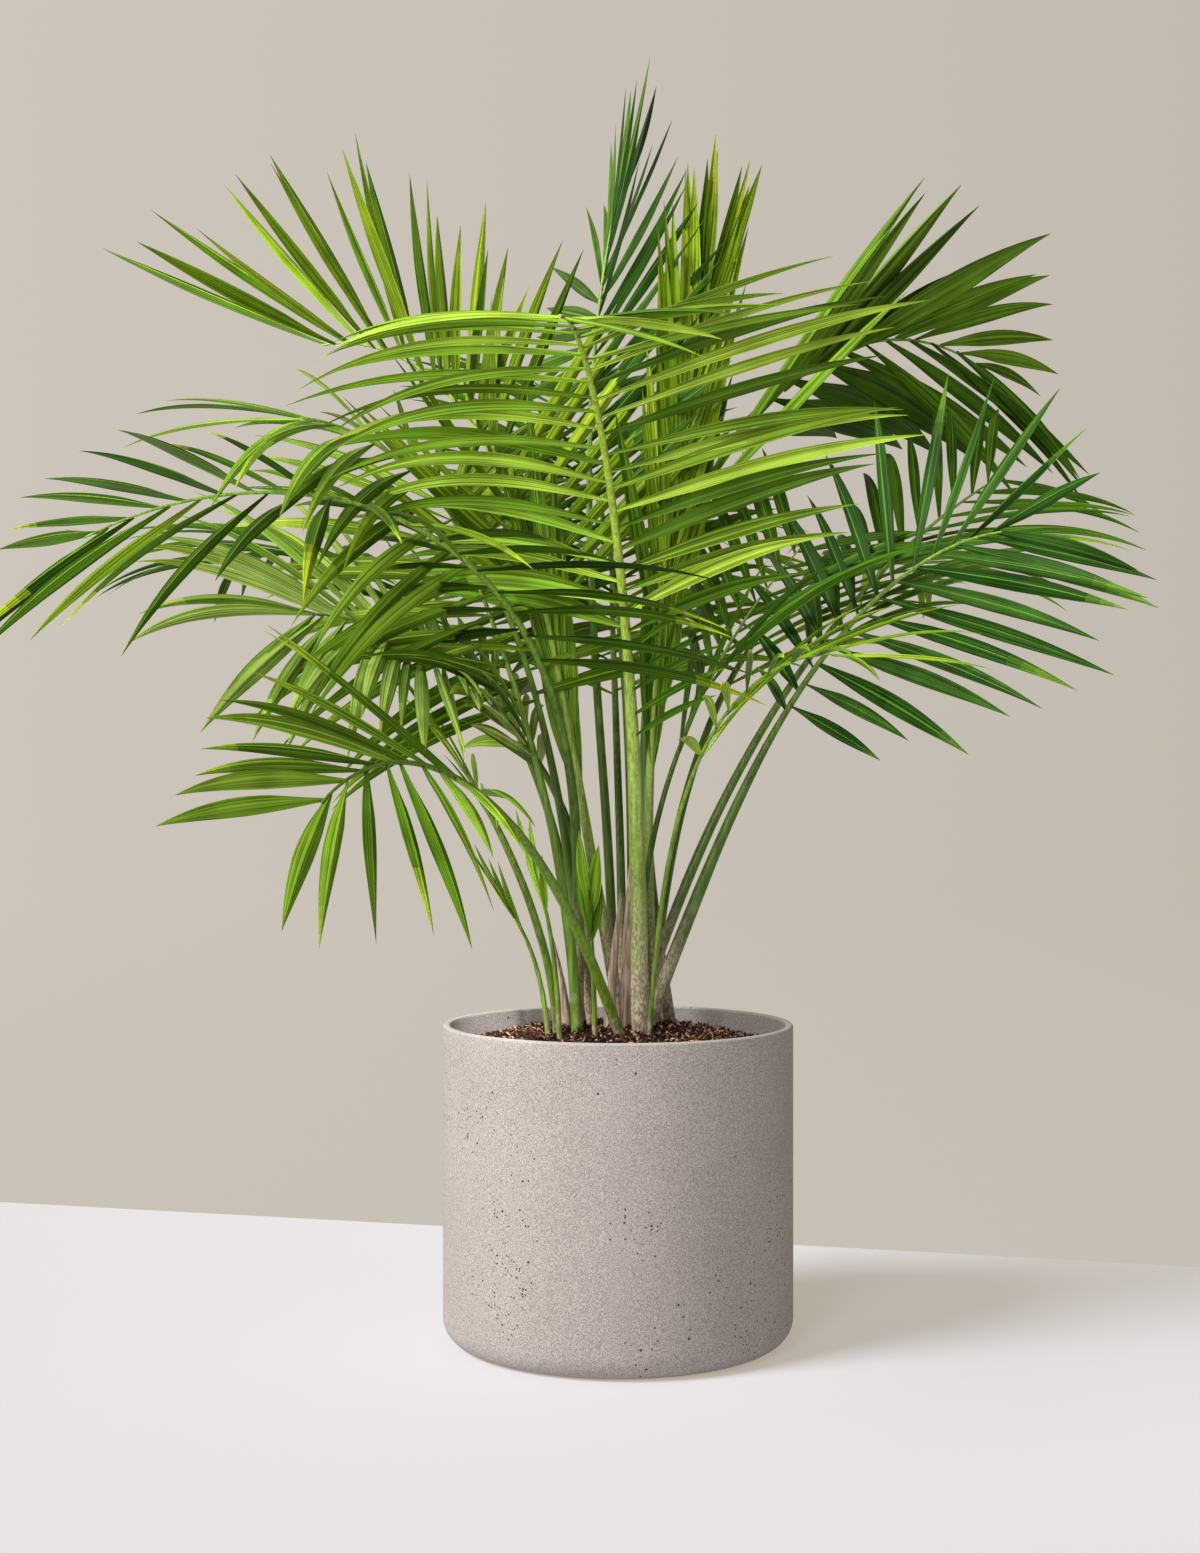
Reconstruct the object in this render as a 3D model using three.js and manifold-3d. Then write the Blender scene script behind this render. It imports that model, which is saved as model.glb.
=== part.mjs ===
// A potted majesty palm: arching feather fronds on bare stalks that rise in one clump from a straight
// round planter of pale grey cast concrete, filled with potting mix.
// Millimetres and degrees, +Z up. The origin is the middle of the pot's flat underside, and the side
// that is seen first faces -Y.

import * as THREE from 'three';
import { mergeVertices } from 'three/addons/utils/BufferGeometryUtils.js';
import Module from 'manifold-3d';

const wasm = await Module();
wasm.setup();

// Driving dimensions of the pot
const POT_DIAMETER = 305;
const POT_HEIGHT = 275;
const POT_WALL = 7;
const POT_FLOOR = 16;
const POT_FOOT_ROUND = 22;
const POT_RIM_ROUND = 3;
const ROUND_SIDES = 36;

// Driving dimensions of the potting mix, which is heaped a little in the middle
const MIX_CREST = 272;
const MIX_FALL = 17;
const MIX_STEPS = 4;

// The gap between two pieces that touch
const GAP = 0.3;

// Driving dimensions of the stalks, the ribs that carry on from them, and the leaflets
const STALK_SIDES = 6;
const STALK_STEPS = 6;
const RIB_SIDES = 4;
const RIB_STEP = 36;
const STALK_TIP_RADIUS = 3.4;
const STALK_TAPER = 1.5;
const RIB_TIP_RADIUS = 1.4;
const FOOT_DEPTH = 9;
const SPINE_STEPS = 48;
const LEAFLET_WIDTH = 24;
const LEAFLET_THICKNESS = 3.1;
const LEAFLET_STEPS = 2;
const LEAFLET_WALK = 6;
const BEND_LATE = 1.8;

// A leaflet is this share of its full width at its root, and is at its widest at the second share
const ROOT_WIDTH = 0.2;
const WIDEST_AT = 0.4;

// Where the longest leaflets grow, as a share of the blade, and where in its own stretch of the rib
// each leaflet stands
const FULLEST_AT = 0.45;
const SEAT = 0.75;

// How far a leaflet strays by chance from its rule: degrees, and a share of its length
const SWAY = 3;
const SWAY_LENGTH = 0.05;

// The real plant has almost twice as many leaflets as the solids, which are wider instead.
const SHARE_OF_LEAFLETS = 0.53;

// How a leaflet may turn away from a neighbour: degrees more from the rib, degrees more up, and its
// length's share. One that fits no way is left out.
const WAYS_TO_FIT = [
  [0, 0, 1],
  [-7, 0, 1],
  [7, 0, 1],
  [0, 9, 0.97],
  [0, -9, 0.97],
  [-12, 8, 0.9],
  [10, -12, 0.9],
  [0, 0, 0.75],
  [0, 14, 0.8],
  [-10, -14, 0.7],
  [0, 0, 0.5],
];

const COLOURS = {
  concrete: 0xb7aca8,
  mix: 0x3b261c,
  sheath: 0x7a6a4c,
  stalk: 0x7d9a55,
  bright: 0x7fb436,
  middle: 0x5f9434,
  dark: 0x3c7a30,
  blue: 0x3a7348,
};

// The leaflets on one side of a frond. open is their angle from the rib and lift how far they rise out
// of the blade, each at the blade's start, middle and tip. longest is the longest one's length, and
// droop how strongly they bend down.
const leaflets = (open, lift, longest, droop) => ({ open, lift, longest, droop });

// Each frond is one row. foot is where its stalk leaves the mix. heading is the way it leans, counted
// from +X towards +Y, and turn is how far that swings by the tip. lean is its angle from upright at
// the foot, arch what the bend adds by the tip, and late how long that bend waits: 1 is an even one.
// bare is the share of the length that is stalk, and thick the stalk's radius at the foot.
// right and left are seen from the foot, and ends is the leaflets' length at the blade's start and
// at its tip as a share of the longest one.
const FROND_ROWS = [
  {
    name: 'front', colour: 'bright', foot: [19, -34], heading: -109, turn: 12, lean: 3, arch: 101,
    late: 2.3, length: 739, bare: 0.46, thick: 8.5, slim: 1.3, pairs: 22, ends: [0.86, 0.65],
    right: leaflets([81, 60, 71], [25, -20, 10], 231, 0.69),
    left: leaflets([60, 81, 37], [-26, 18, -11], 244, 0.27),
  },
  {
    name: 'upper_left', colour: 'bright', foot: [3, 20], heading: 171, turn: 18, lean: 10, arch: 95,
    late: 5.3, length: 707, bare: 0.5, thick: 6, pairs: 12, ends: [0.75, 1],
    right: leaflets([54, 60, 53], [98, 36, 41], 303, 0),
    left: leaflets([47, 79, 57], [-47, 15, 10], 292, 0),
  },
  {
    name: 'top', colour: 'dark', foot: [-4, 43], heading: 141, turn: -80, lean: -3, arch: 24, late: 0.6,
    length: 781, bare: 0.55, thick: 5.5, pairs: 16, ends: [0.75, 0.92],
    right: leaflets([86, 77, 80], [49, 53, 60], 217, 0),
    left: leaflets([94, 86, 14], [-49, -53, -60], 291, 0),
  },
  {
    name: 'spear', colour: 'bright', foot: [34, 16], heading: 14, turn: 6, lean: -8, arch: 19, late: 0.6,
    length: 628, bare: 0.5, thick: 6, pairs: 14, ends: [0.8, 0.72],
    right: leaflets([14, 10, 7], [75, 75, 75], 225, 0),
    left: leaflets([14, 10, 7], [-75, -75, -75], 225, 0),
  },
  {
    name: 'upper_right', colour: 'dark', foot: [47, 53], heading: 10, turn: 29, lean: -9, arch: 123,
    late: 1.92, length: 902, bare: 0.5, thick: 6, pairs: 15, ends: [1.15, 0.47],
    right: leaflets([51, 8, 23], [-1, 64, 118], 255, 0.2),
    left: leaflets([59, 40, 11], [4, -61, -115], 319, 0.25),
  },
  {
    name: 'right', colour: 'blue', foot: [24, -14], heading: 12, turn: -64, lean: 21, arch: 69, late: 2.8,
    length: 565, bare: 0.52, thick: 7, pairs: 12, ends: [0.35, 0.59],
    right: leaflets([85, 50, 16], [-56, -71, -101], 241, 0.17),
    left: leaflets([76, 82, 7], [54, 69, 99], 179, 0.2),
  },
  {
    name: 'right_back', colour: 'dark', foot: [16, 29], heading: 5, turn: 27, lean: 18, arch: 45,
    late: 1.4, length: 645, bare: 0.55, thick: 5.5, pairs: 12, ends: [0.84, 0.5],
    right: leaflets([55, 46, 38], [0, -20, -40], 210, 0.6),
    left: leaflets([55, 46, 38], [9, 35, 60], 205, 0.8),
  },
  {
    name: 'left_front', colour: 'middle', foot: [-35, -32], heading: -170, turn: -56, lean: 3, arch: 29,
    late: 1.15, length: 494, bare: 0.48, thick: 5.5, pairs: 12, ends: [0.73, 0.94],
    right: leaflets([68, 75, 49], [-41, 9, 23], 209, 0.5),
    left: leaflets([61, 88, 30], [21, -29, -43], 200, 0.39),
  },
  {
    name: 'left_high', colour: 'middle', foot: [-22, 10], heading: -176, turn: 34, lean: 8, arch: 83,
    late: 3, length: 633, bare: 0.45, thick: 5.5, pairs: 14, ends: [0.75, 1],
    right: leaflets([89, 88, 75], [67, 46, 6], 260, 0.29),
    left: leaflets([90, 80, 45], [-74, -54, -14], 290, 0.49),
  },
  {
    name: 'far_left', colour: 'dark', foot: [-35, -14], heading: -88, turn: -80, lean: -13, arch: 132,
    late: 1.08, length: 785, bare: 0.42, thick: 5.5, pairs: 16, ends: [0.75, 0.37],
    right: leaflets([95, 86, 21], [3, 21, 57], 171, 0.37),
    left: leaflets([95, 72, 8], [6, -12, -48], 274, 0.36),
  },
  {
    name: 'low_left', colour: 'middle', foot: [1, -50], heading: -128, turn: 18, lean: 29, arch: 88,
    late: 1.41, length: 538, bare: 0.55, thick: 6, pairs: 9, ends: [1, 0.68],
    right: leaflets([31, 12, 27], [45, 64, 60], 207, 0.27),
    left: leaflets([47, 52, 4], [-18, -37, -33], 202, 0.48),
  },
  {
    name: 'mid_left', colour: 'middle', foot: [-35, 26], heading: 159, turn: 73, lean: -14, arch: 106,
    late: 1.08, length: 514, bare: 0.45, thick: 5.5, pairs: 12, ends: [0.75, 1],
    right: leaflets([76, 75, 4], [25, 46, 62], 150, 0.6),
    left: leaflets([62, 79, 30], [-4, -25, -41], 258, 0.2),
  },
  {
    name: 'right_low', colour: 'bright', foot: [26, -46], heading: -57, turn: 17, lean: 8, arch: 92,
    late: 2.35, length: 428, bare: 0.55, thick: 4, pairs: 8, ends: [0.7, 0.7],
    right: leaflets([58, 49, 40], [-26, -11, 4], 170, 0.4),
    left: leaflets([58, 49, 40], [28, 19, 10], 170, 0.4),
  },
  {
    name: 'right_dark', colour: 'dark', foot: [26, 0], heading: 18, turn: 7, lean: -12, arch: 57,
    late: 0.8, length: 470, bare: 0.5, thick: 5, pairs: 12, ends: [0.8, 0.5],
    right: leaflets([62, 54, 45], [37, -2, -40], 230, 0.45),
    left: leaflets([60, 53, 46], [-25, 12, 50], 230, 0.35),
  },
  {
    name: 'thin_left', colour: 'bright', foot: [-53, -22], heading: -138, turn: 5, lean: -1, arch: 46,
    late: 0.6, length: 300, bare: 0.6, thick: 4, pairs: 6, ends: [0.7, 0.8],
    right: leaflets([50, 40, 30], [35, 38, 42], 120, 0.4),
    left: leaflets([50, 40, 30], [-24, -28, -32], 120, 0.4),
  },
  {
    name: 'back', colour: 'middle', foot: [6, 58], heading: 98, turn: -12, lean: 7, arch: 88, late: 1.5,
    length: 720, bare: 0.42, thick: 4.6, pairs: 15, ends: [0.75, 0.6],
    right: leaflets([74, 55, 36], [14, 11, 8], 240, 0.7),
    left: leaflets([74, 55, 36], [14, 11, 8], 240, 0.7),
  },
  {
    name: 'back_left', colour: 'dark', foot: [-26, 48], heading: 131, turn: 14, lean: 10, arch: 92,
    late: 1.4, length: 740, bare: 0.45, thick: 4.6, pairs: 15, ends: [0.75, 0.6],
    right: leaflets([74, 55, 36], [14, 11, 8], 235, 0.7),
    left: leaflets([74, 55, 36], [14, 11, 8], 235, 0.7),
  },
  {
    name: 'back_right', colour: 'middle', foot: [30, 58], heading: 58, turn: -16, lean: 9, arch: 92,
    late: 1.4, length: 720, bare: 0.45, thick: 4.6, pairs: 15, ends: [0.75, 0.6],
    right: leaflets([74, 55, 36], [14, 11, 8], 240, 0.7),
    left: leaflets([74, 55, 36], [14, 11, 8], 240, 0.7),
  },
  {
    name: 'back_high', colour: 'dark', foot: [14, 74], heading: 92, turn: 24, lean: 4, arch: 62,
    late: 1.8, length: 740, bare: 0.5, thick: 4.6, pairs: 14, ends: [0.75, 0.6],
    right: leaflets([68, 51, 34], [16, 13, 10], 200, 0.5),
    left: leaflets([68, 51, 34], [16, 13, 10], 200, 0.5),
  },
  {
    name: 'young_middle', colour: 'bright', foot: [-20, -58], heading: -107, turn: 0, lean: 4, arch: 10,
    late: 1.5, length: 140, bare: 0.65, thick: 2.6, slim: 0.6, broad: 0.6, pairs: 4, ends: [0.9, 1],
    right: leaflets([16, 12, 9], [10, 10, 10], 78, 0),
    left: leaflets([16, 12, 9], [10, 10, 10], 78, 0),
  },
  {
    name: 'young_left', colour: 'bright', foot: [-50, -52], heading: -140, turn: 0, lean: 3, arch: 18,
    late: 1.5, length: 145, bare: 0.65, thick: 2.6, slim: 0.6, broad: 0.6, pairs: 4, ends: [0.9, 1],
    right: leaflets([16, 12, 9], [10, 10, 10], 74, 0),
    left: leaflets([16, 12, 9], [10, 10, 10], 74, 0),
  },
  {
    name: 'young_far', colour: 'bright', foot: [-60, -38], heading: -160, turn: 0, lean: 6, arch: 30,
    late: 1.5, length: 120, bare: 0.65, thick: 2.6, slim: 0.6, broad: 0.6, pairs: 4, ends: [0.9, 1],
    right: leaflets([16, 12, 9], [10, 10, 10], 66, 0),
    left: leaflets([16, 12, 9], [10, 10, 10], 66, 0),
  },
];

// Old sheaths whose fronds are gone, which stand between the stalks
const STUB_ROWS = [
  { name: 'left', foot: [-44, 4], heading: 170, lean: 6, arch: 10, length: 92, thick: 5 },
  { name: 'middle', foot: [-8, -22], heading: -30, lean: 3, arch: 6, length: 120, thick: 5.5 },
  { name: 'right', foot: [6, -4], heading: 60, lean: 2, arch: 4, length: 150, thick: 6 },
];

// What a row doesn't say
const FRONDS = FROND_ROWS.map((row) => ({ slim: 1, broad: 1, ...row }));
const STUBS = STUB_ROWS.map((row) => ({ turn: 0, late: 1, bare: 1, slim: 0.6, ...row }));

const degrees = (angle) => (angle * Math.PI) / 180;
const mix = (from, to, share) => from + (to - from) * share;
const mixOfThree = ([start, middle, end], share) =>
  share < 0.5 ? mix(start, middle, share * 2) : mix(middle, end, share * 2 - 1);

// Random numbers that are the same on every run
function seeded(seed) {
  let state = seed;
  return () => {
    state = (state + 0x6d2b79f5) | 0;
    let t = Math.imul(state ^ (state >>> 15), 1 | state);
    t = (t + Math.imul(t ^ (t >>> 7), 61 | t)) ^ t;
    return ((t ^ (t >>> 14)) >>> 0) / 4294967296;
  };
}

// A closed geometry as a solid, and a solid as a named mesh
function solidOf(geometry) {
  const plain = geometry.clone();
  plain.deleteAttribute('normal');
  plain.deleteAttribute('uv');
  const merged = mergeVertices(plain, 1e-4);
  const corners = Array.from(merged.index.array);
  const kept = [];
  for (let i = 0; i < corners.length; i += 3) {
    const [a, b, c] = corners.slice(i, i + 3);
    if (a !== b && b !== c && c !== a) kept.push(a, b, c);
  }
  const mesh = new wasm.Mesh({
    numProp: 3,
    vertProperties: merged.attributes.position.array,
    triVerts: new Uint32Array(kept),
  });
  return new wasm.Manifold(mesh);
}

function meshOf(solid, name, colour, roughness) {
  const { vertProperties, triVerts } = solid.getMesh();
  const geometry = new THREE.BufferGeometry();
  geometry.setAttribute('position', new THREE.BufferAttribute(vertProperties, 3));
  geometry.setIndex(new THREE.BufferAttribute(triVerts, 1));
  geometry.computeVertexNormals();
  const material = new THREE.MeshStandardMaterial({ color: colour, roughness, metalness: 0 });
  const mesh = new THREE.Mesh(geometry, material);
  mesh.name = name;
  return mesh;
}

// Height of the potting mix at a distance from the pot's axis
const insideRadius = POT_DIAMETER / 2 - POT_WALL;
const mixHeight = (radius) => MIX_CREST - MIX_FALL * (radius / insideRadius) ** 2;

// The direction of a frond at a share of its length, with its upper side and its right-hand side
function directions(frond, share) {
  const lean = degrees(frond.lean + frond.arch * Math.max(share, 0) ** frond.late);
  const heading = degrees(frond.heading + frond.turn * Math.max(share, 0));
  const out = new THREE.Vector3(Math.cos(heading), Math.sin(heading), 0);
  const up = new THREE.Vector3(0, 0, 1);
  const along = out.clone().multiplyScalar(Math.sin(lean)).addScaledVector(up, Math.cos(lean));
  const upper = up.clone().multiplyScalar(Math.sin(lean)).addScaledVector(out, -Math.cos(lean));
  const right = new THREE.Vector3().crossVectors(along, upper);
  return { along, upper, right };
}

// A frond's middle line, walked from its foot in short steps
function spineOf(frond) {
  const [x, y] = frond.foot;
  const points = [new THREE.Vector3(x, y, mixHeight(Math.hypot(x, y)))];
  for (let i = 0; i < SPINE_STEPS; i++) {
    const { along } = directions(frond, (i + 0.5) / SPINE_STEPS);
    points.push(points[i].clone().addScaledVector(along, frond.length / SPINE_STEPS));
  }
  return points;
}

function placeOn(frond, share) {
  const frame = directions(frond, share);
  const steps = share * SPINE_STEPS;
  const i = Math.min(Math.max(Math.floor(steps), 0), SPINE_STEPS - 1);
  const from = frond.spine[i];
  const point = from.clone().addScaledVector(frond.spine[i + 1].clone().sub(from), steps - i);
  return { point, ...frame };
}

// A round bar bent along a frond from one share of its length to another
function bentBar(frond, start, end, radiusAt, sides, steps) {
  const bar = new THREE.CylinderGeometry(1, 1, 1, sides, steps);
  const place = bar.attributes.position;
  for (let i = 0; i < place.count; i++) {
    const share = mix(start, end, place.getY(i) + 0.5);
    const radius = radiusAt(share);
    const { point, right, upper } = placeOn(frond, share);
    point.addScaledVector(right, place.getX(i) * radius);
    point.addScaledVector(upper, place.getZ(i) * radius);
    place.setXYZ(i, point.x, point.y, point.z);
  }
  return solidOf(bar);
}

// The stalk, widest in the sheath at its foot. extra widens and deepens it, to cut its socket.
function stalkSolid(frond, extra) {
  const depth = (FOOT_DEPTH + extra) / frond.length;
  const end = frond.bare - GAP / 2 / frond.length;
  const radiusAt = (share) => {
    const upTheStalk = Math.max(share, 0) / frond.bare;
    return mix(frond.thick, STALK_TIP_RADIUS * frond.slim, upTheStalk ** STALK_TAPER) + extra;
  };
  return bentBar(frond, -depth, end, radiusAt, STALK_SIDES, STALK_STEPS);
}

function ribSolid(frond) {
  const start = frond.bare + GAP / 2 / frond.length;
  const radiusAt = (share) => {
    const upTheBlade = (share - frond.bare) / (1 - frond.bare);
    return mix(STALK_TIP_RADIUS, RIB_TIP_RADIUS, upTheBlade) * frond.slim;
  };
  const steps = Math.ceil((frond.length * (1 - frond.bare)) / RIB_STEP);
  return bentBar(frond, start, 1, radiusAt, RIB_SIDES, steps);
}

// The length of a leaflet along the blade: shorter at the start and at the tip
function lengthShare(frond, upTheBlade) {
  const [first, last] = frond.ends;
  if (upTheBlade < FULLEST_AT) {
    return mix(first, 1, Math.sin(((upTheBlade / FULLEST_AT) * Math.PI) / 2));
  }
  return mix(1, last, ((upTheBlade - FULLEST_AT) / (1 - FULLEST_AT)) ** 2);
}

// The middle line of a leaflet, walked from the rib in short steps: it bends down by its own weight.
// side is 1 on the right and -1 on the left.
function leafletLine(frond, upTheBlade, side, [moreOpen, moreLift, size], extra) {
  const { point, along, upper, right } = placeOn(frond, mix(frond.bare, 1, upTheBlade));
  const angles = side > 0 ? frond.right : frond.left;
  const open = degrees(mixOfThree(angles.open, upTheBlade) + moreOpen);
  const lift = degrees(mixOfThree(angles.lift, upTheBlade) + moreLift);
  const outward = right.clone().multiplyScalar(side * Math.cos(lift));
  outward.addScaledVector(upper, Math.sin(lift));
  const start = along.clone().multiplyScalar(Math.cos(open)).addScaledVector(outward, Math.sin(open));
  const face = new THREE.Vector3().crossVectors(outward, along).multiplyScalar(side);
  const length = angles.longest * lengthShare(frond, upTheBlade) * size + extra;

  const places = [point];
  const ways = [];
  for (let i = 0; i < LEAFLET_WALK; i++) {
    const bend = angles.droop * ((i + 0.5) / LEAFLET_WALK) ** BEND_LATE;
    const way = start.clone().add(new THREE.Vector3(0, 0, -bend)).normalize();
    ways.push(way);
    places.push(places[i].clone().addScaledVector(way, length / LEAFLET_WALK));
  }
  return { places, ways, face };
}

// One leaflet: a three-sided cone bent along its middle line, flat above and keeled below. A round of
// the cone is a triangle, 2 sin 60° wide and 1.5 deep for a radius of 1.
function leafletSolid(frond, upTheBlade, side, turned, extra) {
  const { places, ways, face } = leafletLine(frond, upTheBlade, side, turned, extra);
  const halfWidth = (LEAFLET_WIDTH * frond.broad) / 2;
  const blade = new THREE.ConeGeometry(1, 1, 3, LEAFLET_STEPS);
  const place = blade.attributes.position;
  for (let i = 0; i < place.count; i++) {
    const share = place.getY(i) + 0.5;
    const step = Math.round(share * LEAFLET_WALK);
    const spot = places[step].clone();
    if (step < LEAFLET_WALK) {
      const above = face.clone().addScaledVector(ways[step], -face.dot(ways[step])).normalize();
      const across = new THREE.Vector3().crossVectors(ways[step], above);
      const swell = mix(ROOT_WIDTH, 1, Math.min(share / WIDEST_AT, 1));
      const reach = (place.getX(i) / (1 - share) / Math.sin(Math.PI / 3)) * (halfWidth * swell + extra);
      const height = (place.getZ(i) / (1 - share)) * (LEAFLET_THICKNESS / 1.5 + extra);
      spot.addScaledVector(across, -reach).addScaledVector(above, -height);
    }
    place.setXYZ(i, spot.x, spot.y, spot.z);
  }
  return solidOf(blade);
}

// The pot: a lathe turned from one closed profile, with a rounded foot and a softly rounded rim
function potSolid() {
  const radius = POT_DIAMETER / 2;
  const profile = new THREE.Path();
  profile.moveTo(0, 0);
  profile.lineTo(radius - POT_FOOT_ROUND, 0);
  profile.absarc(radius - POT_FOOT_ROUND, POT_FOOT_ROUND, POT_FOOT_ROUND, -Math.PI / 2, 0, false);
  profile.absarc(radius - POT_RIM_ROUND, POT_HEIGHT - POT_RIM_ROUND, POT_RIM_ROUND, 0, Math.PI / 2, false);
  const innerArc = insideRadius + POT_RIM_ROUND;
  profile.absarc(innerArc, POT_HEIGHT - POT_RIM_ROUND, POT_RIM_ROUND, Math.PI / 2, Math.PI, false);
  profile.lineTo(insideRadius, POT_FLOOR);
  profile.lineTo(0, POT_FLOOR);
  const lathe = new THREE.LatheGeometry(profile.getPoints(2), ROUND_SIDES);
  return solidOf(lathe.rotateX(Math.PI / 2));
}

// The potting mix fills the pot up to its mound, with a socket for the foot of each stalk.
function mixSolid(growths) {
  const radius = insideRadius - GAP;
  const points = [new THREE.Vector2(0, POT_FLOOR + GAP)];
  points.push(new THREE.Vector2(radius, POT_FLOOR + GAP));
  for (let i = 0; i <= MIX_STEPS; i++) {
    const out = radius * (1 - i / MIX_STEPS);
    points.push(new THREE.Vector2(out, mixHeight(out)));
  }
  const lathe = new THREE.LatheGeometry(points, ROUND_SIDES);
  let solid = solidOf(lathe.rotateX(Math.PI / 2));
  for (const growth of growths) solid = solid.subtract(stalkSolid(growth, GAP));
  return solid;
}

// Which solids stand where, so that a new leaflet can be set clear of them
const standing = [];

function stand(solid, owner) {
  standing.push({ solid, owner, box: solid.boundingBox() });
}

function boxesMeet(a, b) {
  return [0, 1, 2].every((i) => a.min[i] < b.max[i] && b.min[i] < a.max[i]);
}

function isClear(solid, owner) {
  const box = solid.boundingBox();
  return standing.every((other) => {
    if (other.owner === owner || !boxesMeet(box, other.box)) return true;
    return solid.intersect(other.solid).isEmpty();
  });
}

// The blade of one frond: its rib with every leaflet that finds room, joined into one body
function bladeSolid(frond, random) {
  const parts = [frond.rib];
  for (let row = 0; row < frond.rows; row++) {
    const upTheBlade = (row + SEAT) / frond.rows;
    for (const side of [1, -1]) {
      const [sway, swayUp, swayLength] = [random(), random(), random()].map((chance) => chance * 2 - 1);
      for (const [moreOpen, moreLift, size] of WAYS_TO_FIT) {
        const turned = [
          moreOpen + sway * SWAY,
          moreLift + swayUp * SWAY,
          size * (1 + swayLength * SWAY_LENGTH),
        ];
        if (!isClear(leafletSolid(frond, upTheBlade, side, turned, GAP), frond.name)) continue;
        const leaflet = leafletSolid(frond, upTheBlade, side, turned, 0);
        parts.push(leaflet);
        stand(leaflet, frond.name);
        break;
      }
    }
  }
  return wasm.Manifold.union(parts);
}

// The plant, grown in this order: stalks, stubs and ribs first, then the leaflets of each frond
const random = seeded(11);
for (const growth of [...FRONDS, ...STUBS]) growth.spine = spineOf(growth);
const pot = potSolid();
const filling = mixSolid([...FRONDS, ...STUBS]);
stand(pot, 'pot');
stand(filling, 'potting_mix');
for (const growth of [...FRONDS, ...STUBS]) {
  growth.stalk = stalkSolid(growth, 0);
  stand(growth.stalk, `stalk_${growth.name}`);
}
for (const frond of FRONDS) {
  frond.rows = Math.round(frond.pairs * SHARE_OF_LEAFLETS);
  frond.rib = ribSolid(frond);
  stand(frond.rib, frond.name);
}

const palm = new THREE.Group();
palm.add(meshOf(pot, 'pot', COLOURS.concrete, 0.85));
palm.add(meshOf(filling, 'potting_mix', COLOURS.mix, 0.95));
for (const stub of STUBS) palm.add(meshOf(stub.stalk, `sheath_${stub.name}`, COLOURS.sheath, 0.8));
for (const frond of FRONDS) {
  palm.add(meshOf(frond.stalk, `stalk_${frond.name}`, COLOURS.stalk, 0.55));
}
for (const frond of FRONDS) {
  palm.add(meshOf(bladeSolid(frond, random), `frond_${frond.name}`, COLOURS[frond.colour], 0.5));
}

export default palm;
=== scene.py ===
# %% [markdown]
# # A potted majesty palm
# This lesson dresses a plain model of a palm in a pot. The plain model gives the sizes: the pot, the
# potting mix, a bare stalk for every frond, and a coarse blade that stands for its leaflets. Here each
# of them is modelled again, finer, in the same place, and painted.
# A palm is a good subject to learn on, because it is one rule used many times. A frond is a bent line
# with two rows of leaflets, and a leaflet is a folded strip bent along a line of its own.
# Lengths in the tables are millimetres, as a gardener would measure them, and MM turns them into the
# metres that Blender works in.

# %% Load the plain model
import math
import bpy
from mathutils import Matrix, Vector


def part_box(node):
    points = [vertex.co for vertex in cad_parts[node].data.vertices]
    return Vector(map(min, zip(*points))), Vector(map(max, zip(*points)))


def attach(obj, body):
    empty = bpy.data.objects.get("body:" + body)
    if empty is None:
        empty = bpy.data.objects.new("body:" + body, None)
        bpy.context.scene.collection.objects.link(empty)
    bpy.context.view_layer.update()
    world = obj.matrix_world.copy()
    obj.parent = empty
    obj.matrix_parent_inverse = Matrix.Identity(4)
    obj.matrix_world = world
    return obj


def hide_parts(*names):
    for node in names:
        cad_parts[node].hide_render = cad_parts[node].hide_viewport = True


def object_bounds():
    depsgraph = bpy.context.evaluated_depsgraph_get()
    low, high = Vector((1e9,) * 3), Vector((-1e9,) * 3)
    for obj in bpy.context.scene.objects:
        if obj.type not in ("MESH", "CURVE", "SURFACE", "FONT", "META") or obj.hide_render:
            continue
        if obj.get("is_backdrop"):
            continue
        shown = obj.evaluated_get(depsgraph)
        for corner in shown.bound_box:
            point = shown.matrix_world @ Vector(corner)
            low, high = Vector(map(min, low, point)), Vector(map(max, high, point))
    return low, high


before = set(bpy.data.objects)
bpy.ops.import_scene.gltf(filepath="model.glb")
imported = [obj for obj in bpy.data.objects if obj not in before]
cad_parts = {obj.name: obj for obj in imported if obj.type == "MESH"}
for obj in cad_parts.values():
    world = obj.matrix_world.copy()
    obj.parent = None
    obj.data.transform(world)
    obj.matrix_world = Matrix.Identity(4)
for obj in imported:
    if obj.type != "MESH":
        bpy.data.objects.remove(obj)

from types import SimpleNamespace

import bmesh
import bpy
import numpy as np
from mathutils import Matrix, Vector

CAD_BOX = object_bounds()
MM = 0.001
UP = np.array([0.0, 0.0, 1.0])
print("nodes:", len(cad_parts))

# %% [markdown]
# ## The camera
# A camera can be placed by eye, but a photograph tells where it stood. The pot's rim is seen as a thin
# ellipse and its sides are upright, so the camera was level. How far the rim's ellipse opens gives its
# height, and how the ellipses of rim and foot differ gives its distance. The lens then follows from
# the pot's width in the picture.

# %% Place the camera
PICTURE_HEIGHT_PX = 1553
FOCAL_LENGTH_PX = 2210
SENSOR_MM = 36
CAMERA_PLACE = (-0.0157, -1.93, 0.49)


def added(name, data):
    """A new object in the scene, for a mesh, a lamp or a camera."""
    thing = bpy.data.objects.new(name, data)
    bpy.context.collection.objects.link(thing)
    return thing


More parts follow.
